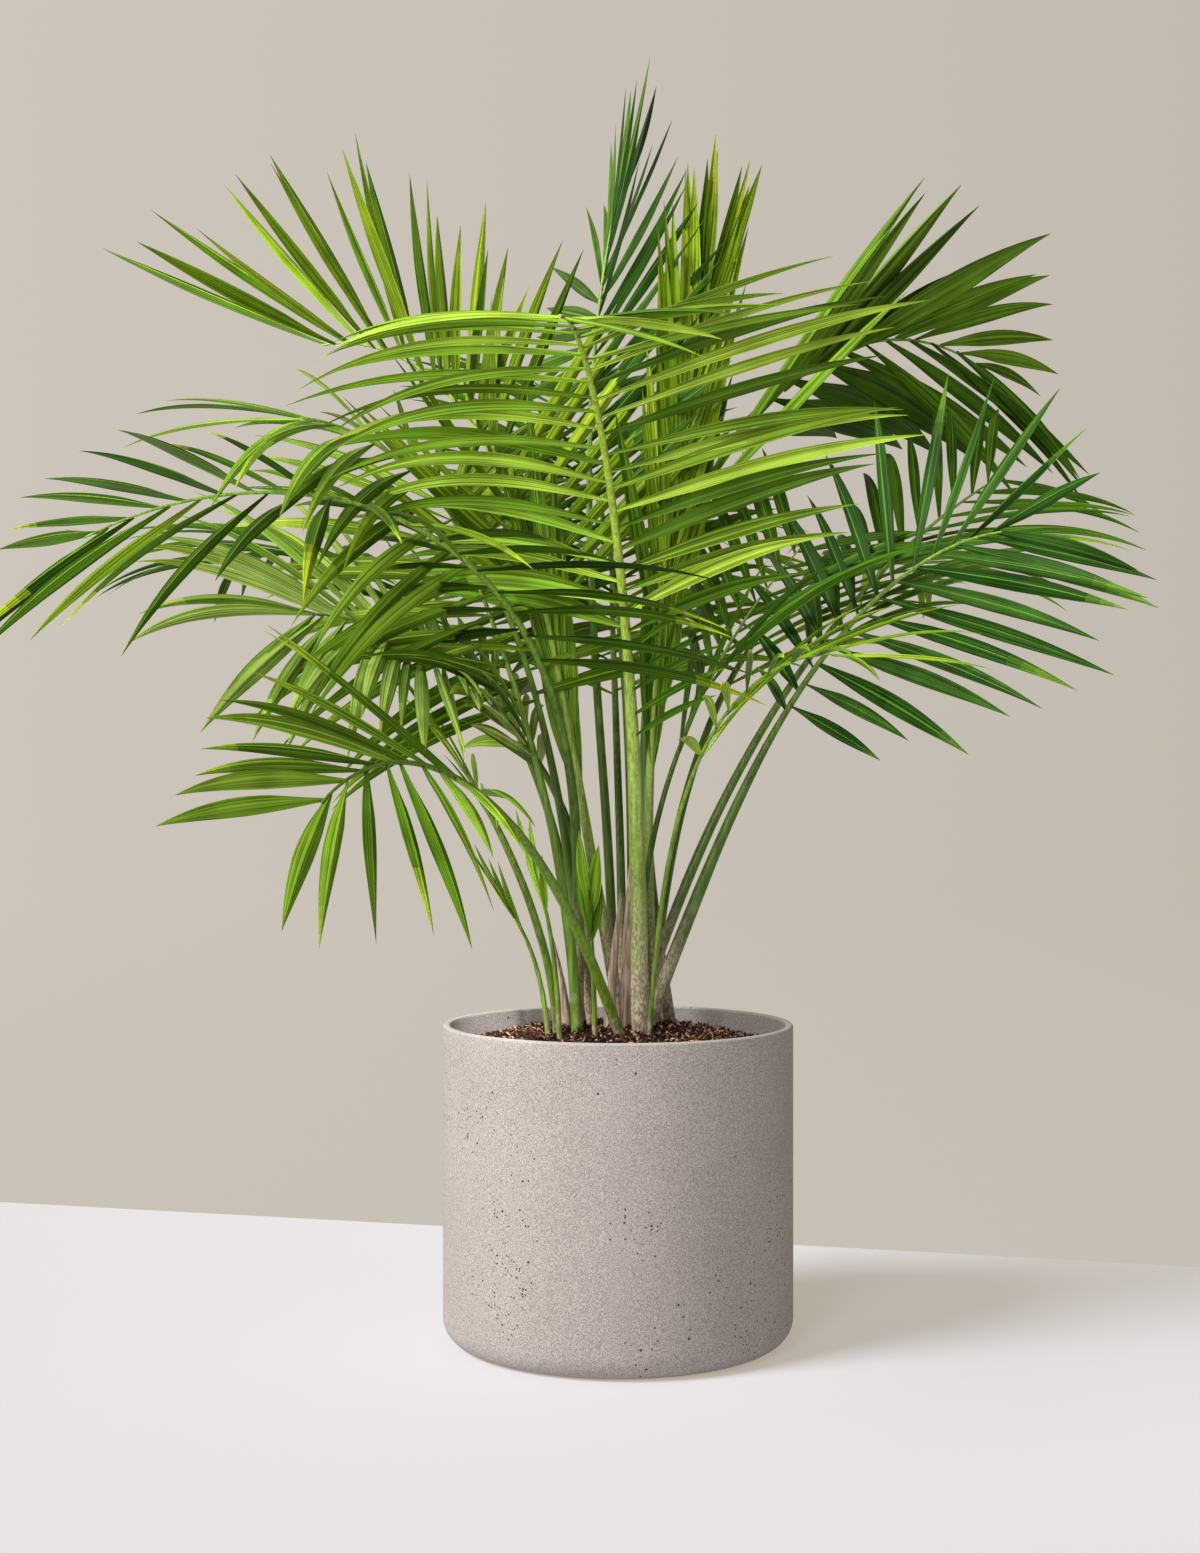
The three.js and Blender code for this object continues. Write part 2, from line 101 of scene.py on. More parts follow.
camera_data = bpy.data.cameras.new("camera")
camera_data.sensor_width = SENSOR_MM
camera_data.lens = FOCAL_LENGTH_PX / PICTURE_HEIGHT_PX * SENSOR_MM
camera = added("camera", camera_data)
camera.location = CAMERA_PLACE
camera.rotation_euler = (math.radians(90), 0, 0)
bpy.context.scene.camera = camera
print("lens:", round(camera_data.lens, 1), "mm")

# %% [markdown]
# ## Writing materials as sums
# A material in Blender is a graph of nodes. Drawn by hand it is easy to read when it is small, and
# hard when it is large. Two small classes make it text instead. A Wire is the output of a node, and
# adding or multiplying it adds a Math node. A Finish is one material: its method node() adds any other
# node, sets its settings first, and then feeds its sockets with values or wires.

# %% Wires and finishes
class Wire:
    """An output of a node. Python's operators on it add Math nodes."""

    def __init__(self, tree, socket):
        self.tree = tree
        self.socket = socket

    def math(self, operation, first, second):
        node = self.tree.nodes.new("ShaderNodeMath")
        node.operation = operation
        feed(self.tree, node.inputs[0], first)
        feed(self.tree, node.inputs[1], second)
        return Wire(self.tree, node.outputs[0])

    def __add__(self, other):
        return self.math("ADD", self, other)

    def __sub__(self, other):
        return self.math("SUBTRACT", self, other)

    def __rsub__(self, other):
        return self.math("SUBTRACT", other, self)

    def __mul__(self, other):
        return self.math("MULTIPLY", self, other)

    def __gt__(self, other):
        return self.math("GREATER_THAN", self, other)

    def __lt__(self, other):
        return self.math("LESS_THAN", self, other)

    __radd__ = __add__
    __rmul__ = __mul__


def feed(tree, socket, value):
    if isinstance(value, Wire):
        tree.links.new(value.socket, socket)
    else:
        socket.default_value = value


class Finish:
    """A material in the making, around one Principled shader."""

    def __init__(self, name, roughness, specular):
        self.material = bpy.data.materials.new(name)
        self.material.use_nodes = True
        self.tree = self.material.node_tree
        self.shader = self.tree.nodes["Principled BSDF"]
        self.shader.inputs["Roughness"].default_value = roughness
        self.shader.inputs["Specular IOR Level"].default_value = specular

    def node(self, kind, settings=None, values=None, output=0):
        node = self.tree.nodes.new(kind)
        for name, value in (settings or {}).items():
            if name == "stops":
                for element, position in zip(node.color_ramp.elements, value):
                    element.position = position
            else:
                setattr(node, name, value)
        for name, value in (values or {}).items():
            feed(self.tree, node.inputs[name], value)
        return Wire(self.tree, node.outputs[output])

    def place(self):
        return self.node("ShaderNodeTexCoord", output="Object")

    def scaled(self, vector, x, y, z):
        return self.node("ShaderNodeMapping", values={"Vector": vector, "Scale": (x, y, z)})

    def coordinate(self, vector, axis):
        return self.node("ShaderNodeSeparateXYZ", values={"Vector": vector}, output=axis)

    def noise(self, vector, scale, detail=2.0, roughness=0.5):
        values = {"Vector": vector, "Scale": scale, "Detail": detail, "Roughness": roughness}
        return self.node("ShaderNodeTexNoise", values=values)

    def ramp(self, value, low, high):
        """Black up to the low value, white from the high one on, and all greys between."""
        return self.node("ShaderNodeValToRGB", {"stops": (low, high)}, {0: value})

    def risen(self, value, low, high):
        """How far a length has come from a low value to a high one, from 0 to 1."""
        values = {"Value": value, "From Min": low, "From Max": high}
        return self.node("ShaderNodeMapRange", values=values)

    def blend(self, factor, first, second):
        """A colour between two, each of them three numbers or a wire."""
        first, second = (c if isinstance(c, Wire) else (*c, 1) for c in (first, second))
        values = {0: factor, 6: first, 7: second}
        return self.node("ShaderNodeMix", {"data_type": "RGBA"}, values, output=2)

    def scaled_colour(self, colour, share):
        return self.node("ShaderNodeVectorMath", {"operation": "SCALE"}, {0: colour, "Scale": share})

    def colour(self, value):
        feed(self.tree, self.shader.inputs["Base Color"], value)

    def roughness(self, value):
        feed(self.tree, self.shader.inputs["Roughness"], value)

    def bump(self, height, strength, distance):
        values = {"Height": height, "Strength": strength, "Distance": distance}
        normal = self.node("ShaderNodeBump", values=values)
        feed(self.tree, self.shader.inputs["Normal"], normal)


# %% [markdown]
# ## Turning a mesh into a piece
# Every finished piece goes through the same few steps: its mesh gets its materials, it is linked to
# the scene, it rides with the pot, and the plain pieces that it stands for are hidden. One function
# does all of them, so that no piece can miss a step. The others here make smooth round meshes: a
# profile is spun into a closed shape, which is then written to a mesh.

# %% Finish a piece
def as_piece(name, mesh, materials, slot, *stands_for):
    for material in materials:
        mesh.materials.append(material)
    piece = added(name, mesh)
    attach(piece, "root")
    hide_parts(*stands_for)


def mesh_from(name, bm):
    mesh = bpy.data.meshes.new(name)
    bm.to_mesh(mesh)
    bm.free()
    mesh.shade_smooth()
    return mesh


def spun(profile, steps):
    """A closed shape, turned like clay on a wheel from a profile of (radius, height) points."""
    bm = bmesh.new()
    corners = [bm.verts.new((radius, 0, height)) for radius, height in profile]
    edges = [bm.edges.new(pair) for pair in zip(corners, corners[1:])]
    bmesh.ops.spin(
        bm,
        geom=corners + edges,
        axis=(0, 0, 1),
        cent=(0, 0, 0),
        angle=math.tau,
        steps=steps,
        use_merge=True,
    )
    bmesh.ops.remove_doubles(bm, verts=bm.verts, dist=1e-6)
    bmesh.ops.recalc_face_normals(bm, faces=bm.faces)
    return bm


def arc(centre, radius, start, end, steps):
    """Points of a round stretch of a profile, from one angle to another."""
    angles = [math.radians(start + (end - start) * i / steps) for i in range(steps + 1)]
    return [(centre[0] + radius * math.cos(a), centre[1] + radius * math.sin(a)) for a in angles]


# %% [markdown]
# ## The concrete pot
# The planter is cast in a mould: a straight wall with a rounded foot and a thin rim whose edges are
# just broken. It could be a cylinder with bevels, but its profile says it all in a few numbers, so the
# profile is drawn once and spun. Its outer wall is divided into rings, so that its faces are nearly
# square: long thin faces shade badly.

# %% Spin the pot
pot_low, pot_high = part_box("pot")
POT_RADIUS = pot_high.x
POT_HEIGHT = pot_high.z
POT_WALL = 7 * MM
POT_FLOOR = 16 * MM
FOOT_ROUND = 22 * MM
FOOT_STEPS = 10
RIM_ROUND = 2.4 * MM
RIM_STEPS = 5
POT_SIDES = 144
WALL_RINGS = 40

inside = POT_RADIUS - POT_WALL
outer_wall = [
    (POT_RADIUS, FOOT_ROUND + (POT_HEIGHT - FOOT_ROUND - RIM_ROUND) * i / WALL_RINGS)
    for i in range(1, WALL_RINGS)
]
pot_profile = [
    (0, 0),
    (POT_RADIUS * 0.5, 0),
    *arc((POT_RADIUS - FOOT_ROUND, FOOT_ROUND), FOOT_ROUND, -90, 0, FOOT_STEPS),
    *outer_wall,
    *arc((POT_RADIUS - RIM_ROUND, POT_HEIGHT - RIM_ROUND), RIM_ROUND, 0, 90, RIM_STEPS),
    *arc((inside + RIM_ROUND, POT_HEIGHT - RIM_ROUND), RIM_ROUND, 90, 180, RIM_STEPS),
    (inside, POT_HEIGHT * 0.8),
    (inside, POT_FLOOR),
    (0, POT_FLOOR),
]
pot_mesh = mesh_from("planter", spun(pot_profile, POT_SIDES))
print("pot:", round(2 * POT_RADIUS / MM), "mm wide,", len(pot_mesh.polygons), "faces")

# %% [markdown]
# ## The finish of cast concrete
# Seen from a step away the pot is one warm grey. Closer, it is a fine sandy grain, soft lighter and
# darker clouds, and groups of small pits where air was caught against the mould. The grain is
# one fine noise and the clouds are a coarse one. The pits are the cells of a Voronoi texture, each
# with a dot at its middle: a second noise lets the dots show only in some places, so they come in
# groups. The dots are painted nearly black, a painted shade for the inside of each hole, and they
# lower the bump, so that they catch the light like real holes. Along the top of the rim the colour
# is blended paler by the height: a painted highlight on the lip.

# %% Paint the pot
CONCRETE_LIGHT = (0.492, 0.438, 0.411)
CONCRETE_DARK = (0.214, 0.184, 0.169)
SAND_SHARE = 0.75
# The paler top of the rim is a painted highlight: its colour, how deep it reaches and how strongly.
WORN_EDGE = (0.7, 0.65, 0.62)
EDGE_DEPTH = 1.8 * MM
EDGE_WEAR = 0.6
# The pits' near-black colour is a painted shade for the inside of each hole.
PIT_COLOUR = (0.045, 0.034, 0.028)
PIT_CELLS = ((420, 0.34), (230, 0.25))
PIT_RARITY = 1.42
PIT_GROUPING = 0.8


def concrete_finish():
    finish = Finish("cast_concrete", roughness=0.85, specular=0.3)
    place = finish.place()
    grain = finish.noise(place, scale=860, detail=2, roughness=0.8)
    clouds = finish.noise(place, scale=14, detail=3)
    groups = finish.noise(place, scale=13, detail=2)
    # edge rises over the top of the rim, where the painted highlight is blended in.
    edge = finish.risen(finish.coordinate(place, "Z"), POT_HEIGHT - EDGE_DEPTH, POT_HEIGHT)
    pits = 0
    for scale, size in PIT_CELLS:
        values = {"Vector": place, "Scale": scale}
        reach = finish.node("ShaderNodeTexVoronoi", values=values)
        chosen = finish.node("ShaderNodeTexVoronoi", values=values, output="Color")
        draw = finish.node("ShaderNodeSeparateColor", values={"Color": chosen}, output="Red")
        pits = (reach < size) * (draw + groups * PIT_GROUPING > PIT_RARITY) + pits
    shade = finish.ramp(grain, 0.42, 0.58) * SAND_SHARE + clouds * (1 - SAND_SHARE)
    concrete = finish.blend(shade, CONCRETE_DARK, CONCRETE_LIGHT)
    # Painted highlight: the top of the rim is blended paler.
    concrete = finish.blend(edge * EDGE_WEAR, concrete, WORN_EDGE)
    # The pits are painted near-black: painted shade inside the holes.
    finish.colour(finish.blend(pits, concrete, PIT_COLOUR))
    finish.bump(grain * 0.4 - pits, strength=0.5, distance=0.8 * MM)
    return finish.material


as_piece("planter", pot_mesh, [concrete_finish()], "concrete", "pot")
print("sizes of pits:", len(PIT_CELLS))

# %% [markdown]
# ## The potting mix
# The mix is heaped a little towards the clump, and it has settled along the wall. Its surface is never
# smooth, so a mound is spun with many rings and then every point of its top is moved by a small amount
# that is drawn by chance. Only the last millimetre along the wall stays still, so that nothing is
# pushed into the wall. The chance is seeded, which means that every run draws the same.

# %% Heap the mix
MIX_CREST = 272
MIX_FALL = 17
EDGE_SINK = 5
INSIDE_MM = inside / MM
MIX_GAP = 0.3
MIX_RINGS = 36
MIX_SIDES = 120
MIX_ROUGH = 1.6 * MM
STILL_EDGE = 1
SEED = 11
chance = np.random.default_rng(SEED)


def mix_height(radius_mm):
    return MIX_CREST - MIX_FALL * (radius_mm / INSIDE_MM) ** 2


def settled_height(radius_mm):
    """The mix has sunk a little more along the wall, where water runs down."""
    return mix_height(radius_mm) - EDGE_SINK * (radius_mm / INSIDE_MM) ** 4


mix_radius = INSIDE_MM - MIX_GAP
mix_bottom = POT_FLOOR + MIX_GAP * MM
mix_top = [mix_radius * i / MIX_RINGS for i in range(MIX_RINGS + 1)]
mix_profile = [(r * MM, settled_height(r) * MM) for r in mix_top]
mix_profile += [(mix_radius * MM, mix_bottom), (0, mix_bottom)]
mound = spun(mix_profile, MIX_SIDES)
for corner in mound.verts:
    if corner.co.z > POT_HEIGHT / 2 and corner.co.xy.length < (mix_radius - STILL_EDGE) * MM:
        corner.co.z += chance.normal() * MIX_ROUGH - MIX_ROUGH / 2
mix_mesh = mesh_from("potting_mound", mound)
print("mix:", len(mix_mesh.polygons), "faces")

# %% [markdown]
# ## Bark chips
# What the eye sees on the mix is shredded bark: thousands of slivers from dark brown to orange. One
# chip is a box of six faces, narrowed towards one end. Instances would be light to draw, but they
# are lost when a model is exported, so the chips are joined into one mesh: the one chip's corners are
# multiplied by a matrix for each copy, all at once, as arrays of numbers.

# %% Copies of a shape
def as_arrays(bm):
    """A shape's corners and faces as arrays. The bmesh itself is freed."""
    bm.verts.index_update()
    corners = np.array([corner.co for corner in bm.verts])
    faces = np.array([[corner.index for corner in face.verts] for face in bm.faces])
    bm.free()
    return corners, faces


def joined(name, copies, faces):
    """One mesh of many copies of a shape, each given by its corners. All of them have the same faces."""
    count, corners = copies.shape[:2]
    numbers = faces[None] + corners * np.arange(count)[:, None, None]
    mesh = bpy.data.meshes.new(name)
    mesh.from_pydata(copies.reshape(-1, 3).tolist(), [], numbers.reshape(-1, 4).tolist())
    return mesh


# %% One chip
CHIP_TAPER = 0.45
CHIP_LIFT = 0.25


def chip_shape():
    bm = bmesh.new()
    bmesh.ops.create_cube(bm, size=1)
    for corner in bm.verts:
        taper = CHIP_TAPER if corner.co.x > 0 else 1
        corner.co.y *= taper
        corner.co.z *= taper
        corner.co.z += CHIP_LIFT * corner.co.x**2
    return as_arrays(bm)


def turns(rng, count, tilt):
    """Rotation matrices: any heading, a tilt of about so many degrees, and a roll."""
    made = []
    for heading, lean, roll in zip(
        rng.uniform(0, math.tau, count),
        np.radians(rng.normal(0, tilt, count)),
        np.radians(rng.normal(0, tilt, count)),
    ):
        turn = Matrix.Rotation(heading, 3, "Z") @ Matrix.Rotation(lean, 3, "Y")
        made.append(turn @ Matrix.Rotation(roll, 3, "X"))
    return np.array(made)


# %% Strew the chips
CHIP_COUNT = 6400
CHIP_LENGTHS = (3.0, 11.0)
CHIP_SLIMNESS = (0.1, 0.3)
CHIP_HEIGHTS = (0.6, 1.6)
CHIP_TILT = 30
CHIP_RISE = (0.4, 1.0)
STREWN_SHARE = 0.985
CHIP_CLEARANCE = 0.4 * MM
BARK_SHARES = (0.55, 0.26, 0.19)


def chips_mesh():
    corners, faces = chip_shape()
    radius = mix_radius * np.sqrt(chance.uniform(0, STREWN_SHARE, CHIP_COUNT)) - STILL_EDGE
    angle = chance.uniform(0, math.tau, CHIP_COUNT)
    length = chance.uniform(*CHIP_LENGTHS, CHIP_COUNT)
    width = length * chance.uniform(*CHIP_SLIMNESS, CHIP_COUNT)
    height = chance.uniform(*CHIP_HEIGHTS, CHIP_COUNT)
    sizes = np.stack([length, width, height], 1)
    middles = np.stack([radius * np.cos(angle), radius * np.sin(angle), settled_height(radius)], 1)
    middles[:, 2] += chance.normal(*CHIP_RISE, CHIP_COUNT)
    shaped = corners[None] * sizes[:, None]
    turned = np.einsum("nij,nkj->nki", turns(chance, CHIP_COUNT, CHIP_TILT), shaped)
    places = (turned + middles[:, None]) * MM
    reach = np.linalg.norm(places[..., :2], axis=2).max(1)
    kept = places[reach < inside - CHIP_CLEARANCE]
    mesh = joined("bark_chips", kept, faces)
    tints = chance.choice(len(BARK_SHARES), len(kept), p=BARK_SHARES)
    mesh.polygons.foreach_set("material_index", np.repeat(tints, len(faces)))
    print("chips:", len(kept))
    return mesh


bark_mesh = chips_mesh()

# %% [markdown]
# ## The colours of the mix
# Three plain browns are dealt out to the chips, so that each chip is one colour, as real ones are. A
# fine noise in each keeps them from looking like plastic.

# %% Paint the mix
def earth_finish(name, dark, light):
    finish = Finish(name, roughness=0.9, specular=0.2)
    grain = finish.noise(finish.place(), scale=420, detail=3)
    finish.colour(finish.blend(finish.ramp(grain, 0.35, 0.65), dark, light))
    finish.bump(grain, strength=0.6, distance=0.8 * MM)
    return finish.material


BARK_TINTS = {
    "bark_dark": ((0.012, 0.006, 0.004), (0.045, 0.02, 0.012)),
    "bark_brown": ((0.07, 0.028, 0.016), (0.2, 0.085, 0.05)),
    "bark_orange": ((0.34, 0.17, 0.09), (0.72, 0.46, 0.3)),
}
peat = earth_finish("peat", (0.008, 0.004, 0.003), (0.03, 0.014, 0.009))
barks = [earth_finish(name, *tints) for name, tints in BARK_TINTS.items()]
as_piece("potting_mound", mix_mesh, [peat], "potting_mix", "potting_mix")
as_piece("bark_chips", bark_mesh, barks, "potting_mix", "potting_mix")

# %% [markdown]
# ## A table of fronds
# Every frond is one row: where its stalk leaves the mix, which way it leans, how it arches, and how
# its two rows of leaflets stand. The numbers are read from the real plant, one frond after another.
# A row is easier to check against the plant than a finished mesh, and a mended number mends the whole
# frond.
# foot is in millimetres from the pot's axis. heading is the way a frond leans, counted from +X
# towards +Y, and turn is how far that swings by the tip. lean is its angle from upright at the foot,
# arch what the bend adds by the tip, and late how long the bend waits: 1 is an even one. bare is the
# share of the length that is stalk, thick the stalk's radius at the foot, and slim how slender the rib
# is, as a share of the usual. ends is the leaflets' length at the blade's start and at its tip, as a
# share of the longest one.
# For the leaflets of one side, open is their angle from the rib and lift how far they rise out of the
# blade, each at the blade's start, middle and tip. longest is the length of the longest one, and droop
# how strongly they sink. width is how broad one leaflet is, tips the share of leaflets with a yellow
# tip, and wild how much chance adds. fused_left and fused_right are the first
# pair and the one after the last of those that never parted from their neighbours and are broad.
# tint is the family of its leaf colours where that isn't colour's own, and left_tint the left side's.
# early_right and early_left are how many leaflets grow below the blade, and clasp is the angle at which
# those hug the stalk, in a frond that is still opening. Where no left side is given, it is like the
# right one.

# %% The fronds
def leaflets(open, lift, longest, droop):
    return SimpleNamespace(open=open, lift=lift, longest=longest, droop=droop)


def frond(name, colour, foot, heading, turn, lean, arch, late, length, bare, thick, pairs, ends,
          right, left=None, width=13, tips=0.2, wild=1.0, slim=1.0, fused_left=(0, 0), fused_right=(0, 0),
          tint=None, left_tint=None, early_right=0, early_left=0, clasp=None):
    left = left or right
    return SimpleNamespace(**locals())


def young_frond(name, foot, heading, lean, arch, length, longest, width):
    """A frond at the clump's foot that has hardly opened: two pairs of leaflets along a thin stalk."""
    angles = leaflets((7, 6, 5), (10, 10, 10), longest, 0)
    return frond(name, "bright", foot, heading, 0, lean, arch, 1.5, length, 0.65, 2.6, 2, (0.9, 1),
                 angles, width=width, slim=0.6, tint="middle", tips=0)


FRONDS = [
    frond("front", "bright", (19, -34), -109, 12, 3, 101, 2.3, 739, 0.46, 8.5, 22, (0.86, 0.65),
          leaflets((81, 60, 71), (25, -20, 10), 231, 0.69),
          leaflets((60, 81, 37), (-26, 18, -11), 244, 0.27),
          width=14, slim=1.3, fused_right=(0, 2), tips=0.1, tint="pale", left_tint="leafy",
          early_left=5),
    frond("upper_left", "bright", (3, 20), 171, 18, 10, 95, 5.3, 707, 0.5, 6, 20, (0.75, 1),
          leaflets((54, 60, 53), (98, 36, 41), 303, 0),
          leaflets((47, 79, 57), (-47, 15, 10), 292, 0),
          width=15, tips=0.05, tint="olive", early_right=9, early_left=9, clasp=6),
    frond("top", "dark", (-4, 43), 141, -80, -3, 24, 0.6, 781, 0.55, 4.8, 24, (0.75, 0.92),
          leaflets((86, 77, 80), (49, 53, 60), 217, 0),
          leaflets((94, 86, 14), (-49, -53, -60), 291, 0),
          width=16, tips=0, tint="blue", left_tint="dark"),
    frond("spear", "bright", (34, 16), 14, 6, -8, 19, 0.6, 628, 0.5, 6, 24, (0.8, 0.72),
          leaflets((14, 10, 7), (75, 75, 75), 225, 0),
          leaflets((14, 10, 7), (-75, -75, -75), 225, 0),
          width=15, tint="olive", early_right=8, early_left=8, clasp=5),
    frond("upper_right", "dark", (47, 53), 10, 29, -9, 123, 1.92, 902, 0.5, 6, 15, (1.15, 0.47),
          leaflets((51, 8, 23), (-1, 64, 118), 255, 0.2),
          leaflets((59, 40, 11), (4, -61, -115), 319, 0.25),
          width=19, fused_right=(3, 9), fused_left=(4, 8), tips=0.05, tint="deep", left_tint="dark"),
    frond("right", "blue", (24, -14), 12, -64, 21, 69, 2.8, 565, 0.52, 7, 13, (0.35, 0.59),
          leaflets((85, 50, 16), (-56, -71, -101), 241, 0.17),
          leaflets((76, 82, 7), (54, 69, 99), 179, 0.2), width=15),
    frond("right_back", "dark", (16, 29), 5, 27, 18, 45, 1.4, 645, 0.55, 5.5, 12, (0.84, 0.5),
          leaflets((55, 46, 38), (0, -20, -40), 210, 0.6),
          leaflets((55, 46, 38), (9, 35, 60), 205, 0.8), width=13),
    frond("left_front", "middle", (-35, -32), -170, -56, 3, 29, 1.15, 494, 0.48, 5.5, 16, (0.73, 0.94),
          leaflets((68, 75, 49), (-41, 9, 23), 209, 0.5),
          leaflets((61, 88, 30), (21, -29, -43), 200, 0.39), width=13, tint="leafy"),
    frond("left_high", "middle", (-22, 10), -176, 34, 8, 83, 3, 633, 0.45, 5.5, 18, (0.75, 1),
          leaflets((89, 88, 75), (67, 46, 6), 260, 0.29),
          leaflets((90, 80, 45), (-74, -54, -14), 290, 0.49), width=14),
    frond("far_left", "dark", (-35, -14), -88, -80, -13, 132, 1.08, 785, 0.42, 5.5, 18, (0.75, 0.37),
          leaflets((95, 86, 21), (3, 21, 57), 171, 0.37),
          leaflets((95, 72, 8), (6, -12, -48), 274, 0.36), width=13, tips=0.5, tint="shade"),
    frond("low_left", "middle", (1, -50), -128, 18, 29, 88, 1.41, 538, 0.55, 5, 9, (1, 0.68),
          leaflets((31, 12, 27), (45, 64, 60), 207, 0.27),
          leaflets((47, 52, 4), (-18, -37, -33), 202, 0.48), width=15, tips=0.8),
    frond("mid_left", "middle", (-35, 26), 159, 73, -14, 106, 1.08, 514, 0.45, 5.5, 24, (0.75, 1),
          leaflets((76, 75, 4), (25, 46, 62), 190, 0.6),
          leaflets((62, 79, 30), (-4, -25, -41), 258, 0.2), width=14, tips=0.6, tint="grey"),
    frond("right_low", "bright", (26, -46), -57, 17, 8, 92, 2.35, 428, 0.55, 2.4, 8, (0.7, 0.7),
          leaflets((58, 49, 40), (-26, -11, 4), 170, 0.4),
          leaflets((58, 49, 40), (28, 19, 10), 170, 0.4), width=10, tips=0.5, slim=0.55),
    frond("right_dark", "dark", (26, 0), 18, 7, -12, 57, 0.8, 470, 0.5, 3.5, 12, (0.8, 0.5),
          leaflets((62, 54, 45), (37, -2, -40), 230, 0.45),
          leaflets((60, 53, 46), (-25, 12, 50), 230, 0.35), width=14, slim=0.75),
    frond("thin_left", "bright", (-53, -22), -138, 5, -1, 46, 0.6, 300, 0.6, 4, 6, (0.7, 0.8),
          leaflets((50, 40, 30), (35, 38, 42), 120, 0.4),
          leaflets((50, 40, 30), (-24, -28, -32), 120, 0.4), width=8),
    frond("back", "middle", (6, 58), 98, -12, 7, 88, 1.5, 720, 0.42, 4.6, 15, (0.75, 0.6),
          leaflets((74, 55, 36), (14, 11, 8), 240, 0.7)),
    frond("back_left", "dark", (-26, 48), 131, 14, 10, 92, 1.4, 740, 0.45, 4.6, 15, (0.75, 0.6),
          leaflets((74, 55, 36), (14, 11, 8), 235, 0.7)),
    frond("back_right", "middle", (30, 58), 58, -16, 9, 92, 1.4, 720, 0.45, 4.6, 15, (0.75, 0.6),
          leaflets((74, 55, 36), (14, 11, 8), 240, 0.7)),
    frond("back_high", "dark", (14, 74), 92, 24, 4, 62, 1.8, 740, 0.5, 4.6, 14, (0.75, 0.6),
          leaflets((68, 51, 34), (16, 13, 10), 200, 0.5)),
    young_frond("young_middle", (-20, -58), -107, 4, 10, 118, 64, 14),
    young_frond("young_left", (-50, -52), -140, 3, 18, 145, 66, 10),
    young_frond("young_far", (-60, -38), -160, 6, 30, 120, 76, 10),
]
print("fronds:", len(FRONDS), "leaflets:", 2 * sum(row.pairs for row in FRONDS))

# %% [markdown]
# ## The line of a frond
# A frond stands upright at its foot and bends over by its own weight towards its tip. So its line is
# walked: at each short step the lean grows a little, by a power of how far up the step is, and the
# next point lies one step further in that direction. At any place on the line three directions are
# known: along it, out of its upper side, and to its right. Everything else hangs on those three.

# %% Walk the line
SPINE_STEPS = 48


def directions(row, share):
    """Along, upper and right at shares of a frond's length, one line of an array for each share."""
    grown = np.maximum(np.atleast_1d(share), 0)[:, None]
    lean = np.radians(row.lean + row.arch * grown**row.late)
    heading = np.radians(row.heading + row.turn * grown)
    out = np.hstack([np.cos(heading), np.sin(heading), 0 * heading])
    along = np.sin(lean) * out + np.cos(lean) * UP
    upper = np.sin(lean) * UP - np.cos(lean) * out
    return along, upper, np.cross(along, upper)


def walk(row):
    """The points of a frond's middle line, in millimetres."""
    x, y = row.foot
    start = np.array([x, y, mix_height(math.hypot(x, y))])
    along = directions(row, (np.arange(SPINE_STEPS) + 0.5) / SPINE_STEPS)[0]
    steps = np.cumsum(along * row.length / SPINE_STEPS, axis=0)
    return np.vstack([start, start + steps])


def place_on(row, share):
    """Points at shares of a frond's length. Under 0 the line carries on straight into the mix."""
    steps = np.atleast_1d(share) * SPINE_STEPS
    first = np.clip(np.floor(steps).astype(int), 0, SPINE_STEPS - 1)
    from_points = row.spine[first]
    return from_points + (row.spine[first + 1] - from_points) * (steps - first)[:, None]


for row in FRONDS:
    row.spine = walk(row)
print("highest tip of a rib:", round(max(row.spine[-1][2] for row in FRONDS)), "mm")

# %% [markdown]
# ## Stalk and rib
# The stalk and the rib are one tapering limb. Near the foot it is a broad sheath that clasps its
# neighbours, in the middle it is round with a shallow channel on its upper side, and between the
# leaflets it is thin and edged. It could be a curve with a bevel, but a curve has the same section all
# along. So one straight bar is made from a cylinder with many rings, and for each frond its corners
# are moved: the height of a corner tells how far along the frond it goes, and its angle tells where on
# the section it sits.

# %% One straight bar
BAR_SIDES = 14
BAR_RINGS = 84


def straight_bar():
    bm = bmesh.new()
    bmesh.ops.create_cone(
        bm, cap_ends=True, cap_tris=False, segments=BAR_SIDES, radius1=1, radius2=1, depth=1
    )
    upright = [edge for edge in bm.edges if abs(edge.verts[0].co.z - edge.verts[1].co.z) > 0.5]
    bmesh.ops.subdivide_edges(bm, edges=upright, cuts=BAR_RINGS, use_grid_fill=True)
    bmesh.ops.recalc_face_normals(bm, faces=bm.faces)
    return bm


bar = straight_bar()
print("one bar:", len(bar.faces), "faces")

# %% Bend it along a frond
LIMB_SHARE = 0.93
STALK_TIP_RADIUS = 3.4
RIB_TIP_RADIUS = 1.0
STALK_SWELL = 1.5
FOOT_DEPTH = 8
CHANNEL_DEPTH = 0.3
CHANNEL_WIDTH = 36
FIBRE_RELIEF = 0.035
FIBRE_TURNS = 30


def radius_along(row, share):
    """The limb's radius in millimetres: a sheath at the foot, then a stalk, then a rib."""
    up_stalk = np.clip(share / row.bare, 0, 1)
    up_blade = np.clip((share - row.bare) / (1 - row.bare), 0, 1)
    stalk = row.thick + (STALK_TIP_RADIUS * row.slim - row.thick) * up_stalk**STALK_SWELL
    rib = (STALK_TIP_RADIUS + (RIB_TIP_RADIUS - STALK_TIP_RADIUS) * up_blade) * row.slim
    return np.where(share < row.bare, stalk, rib) * LIMB_SHARE


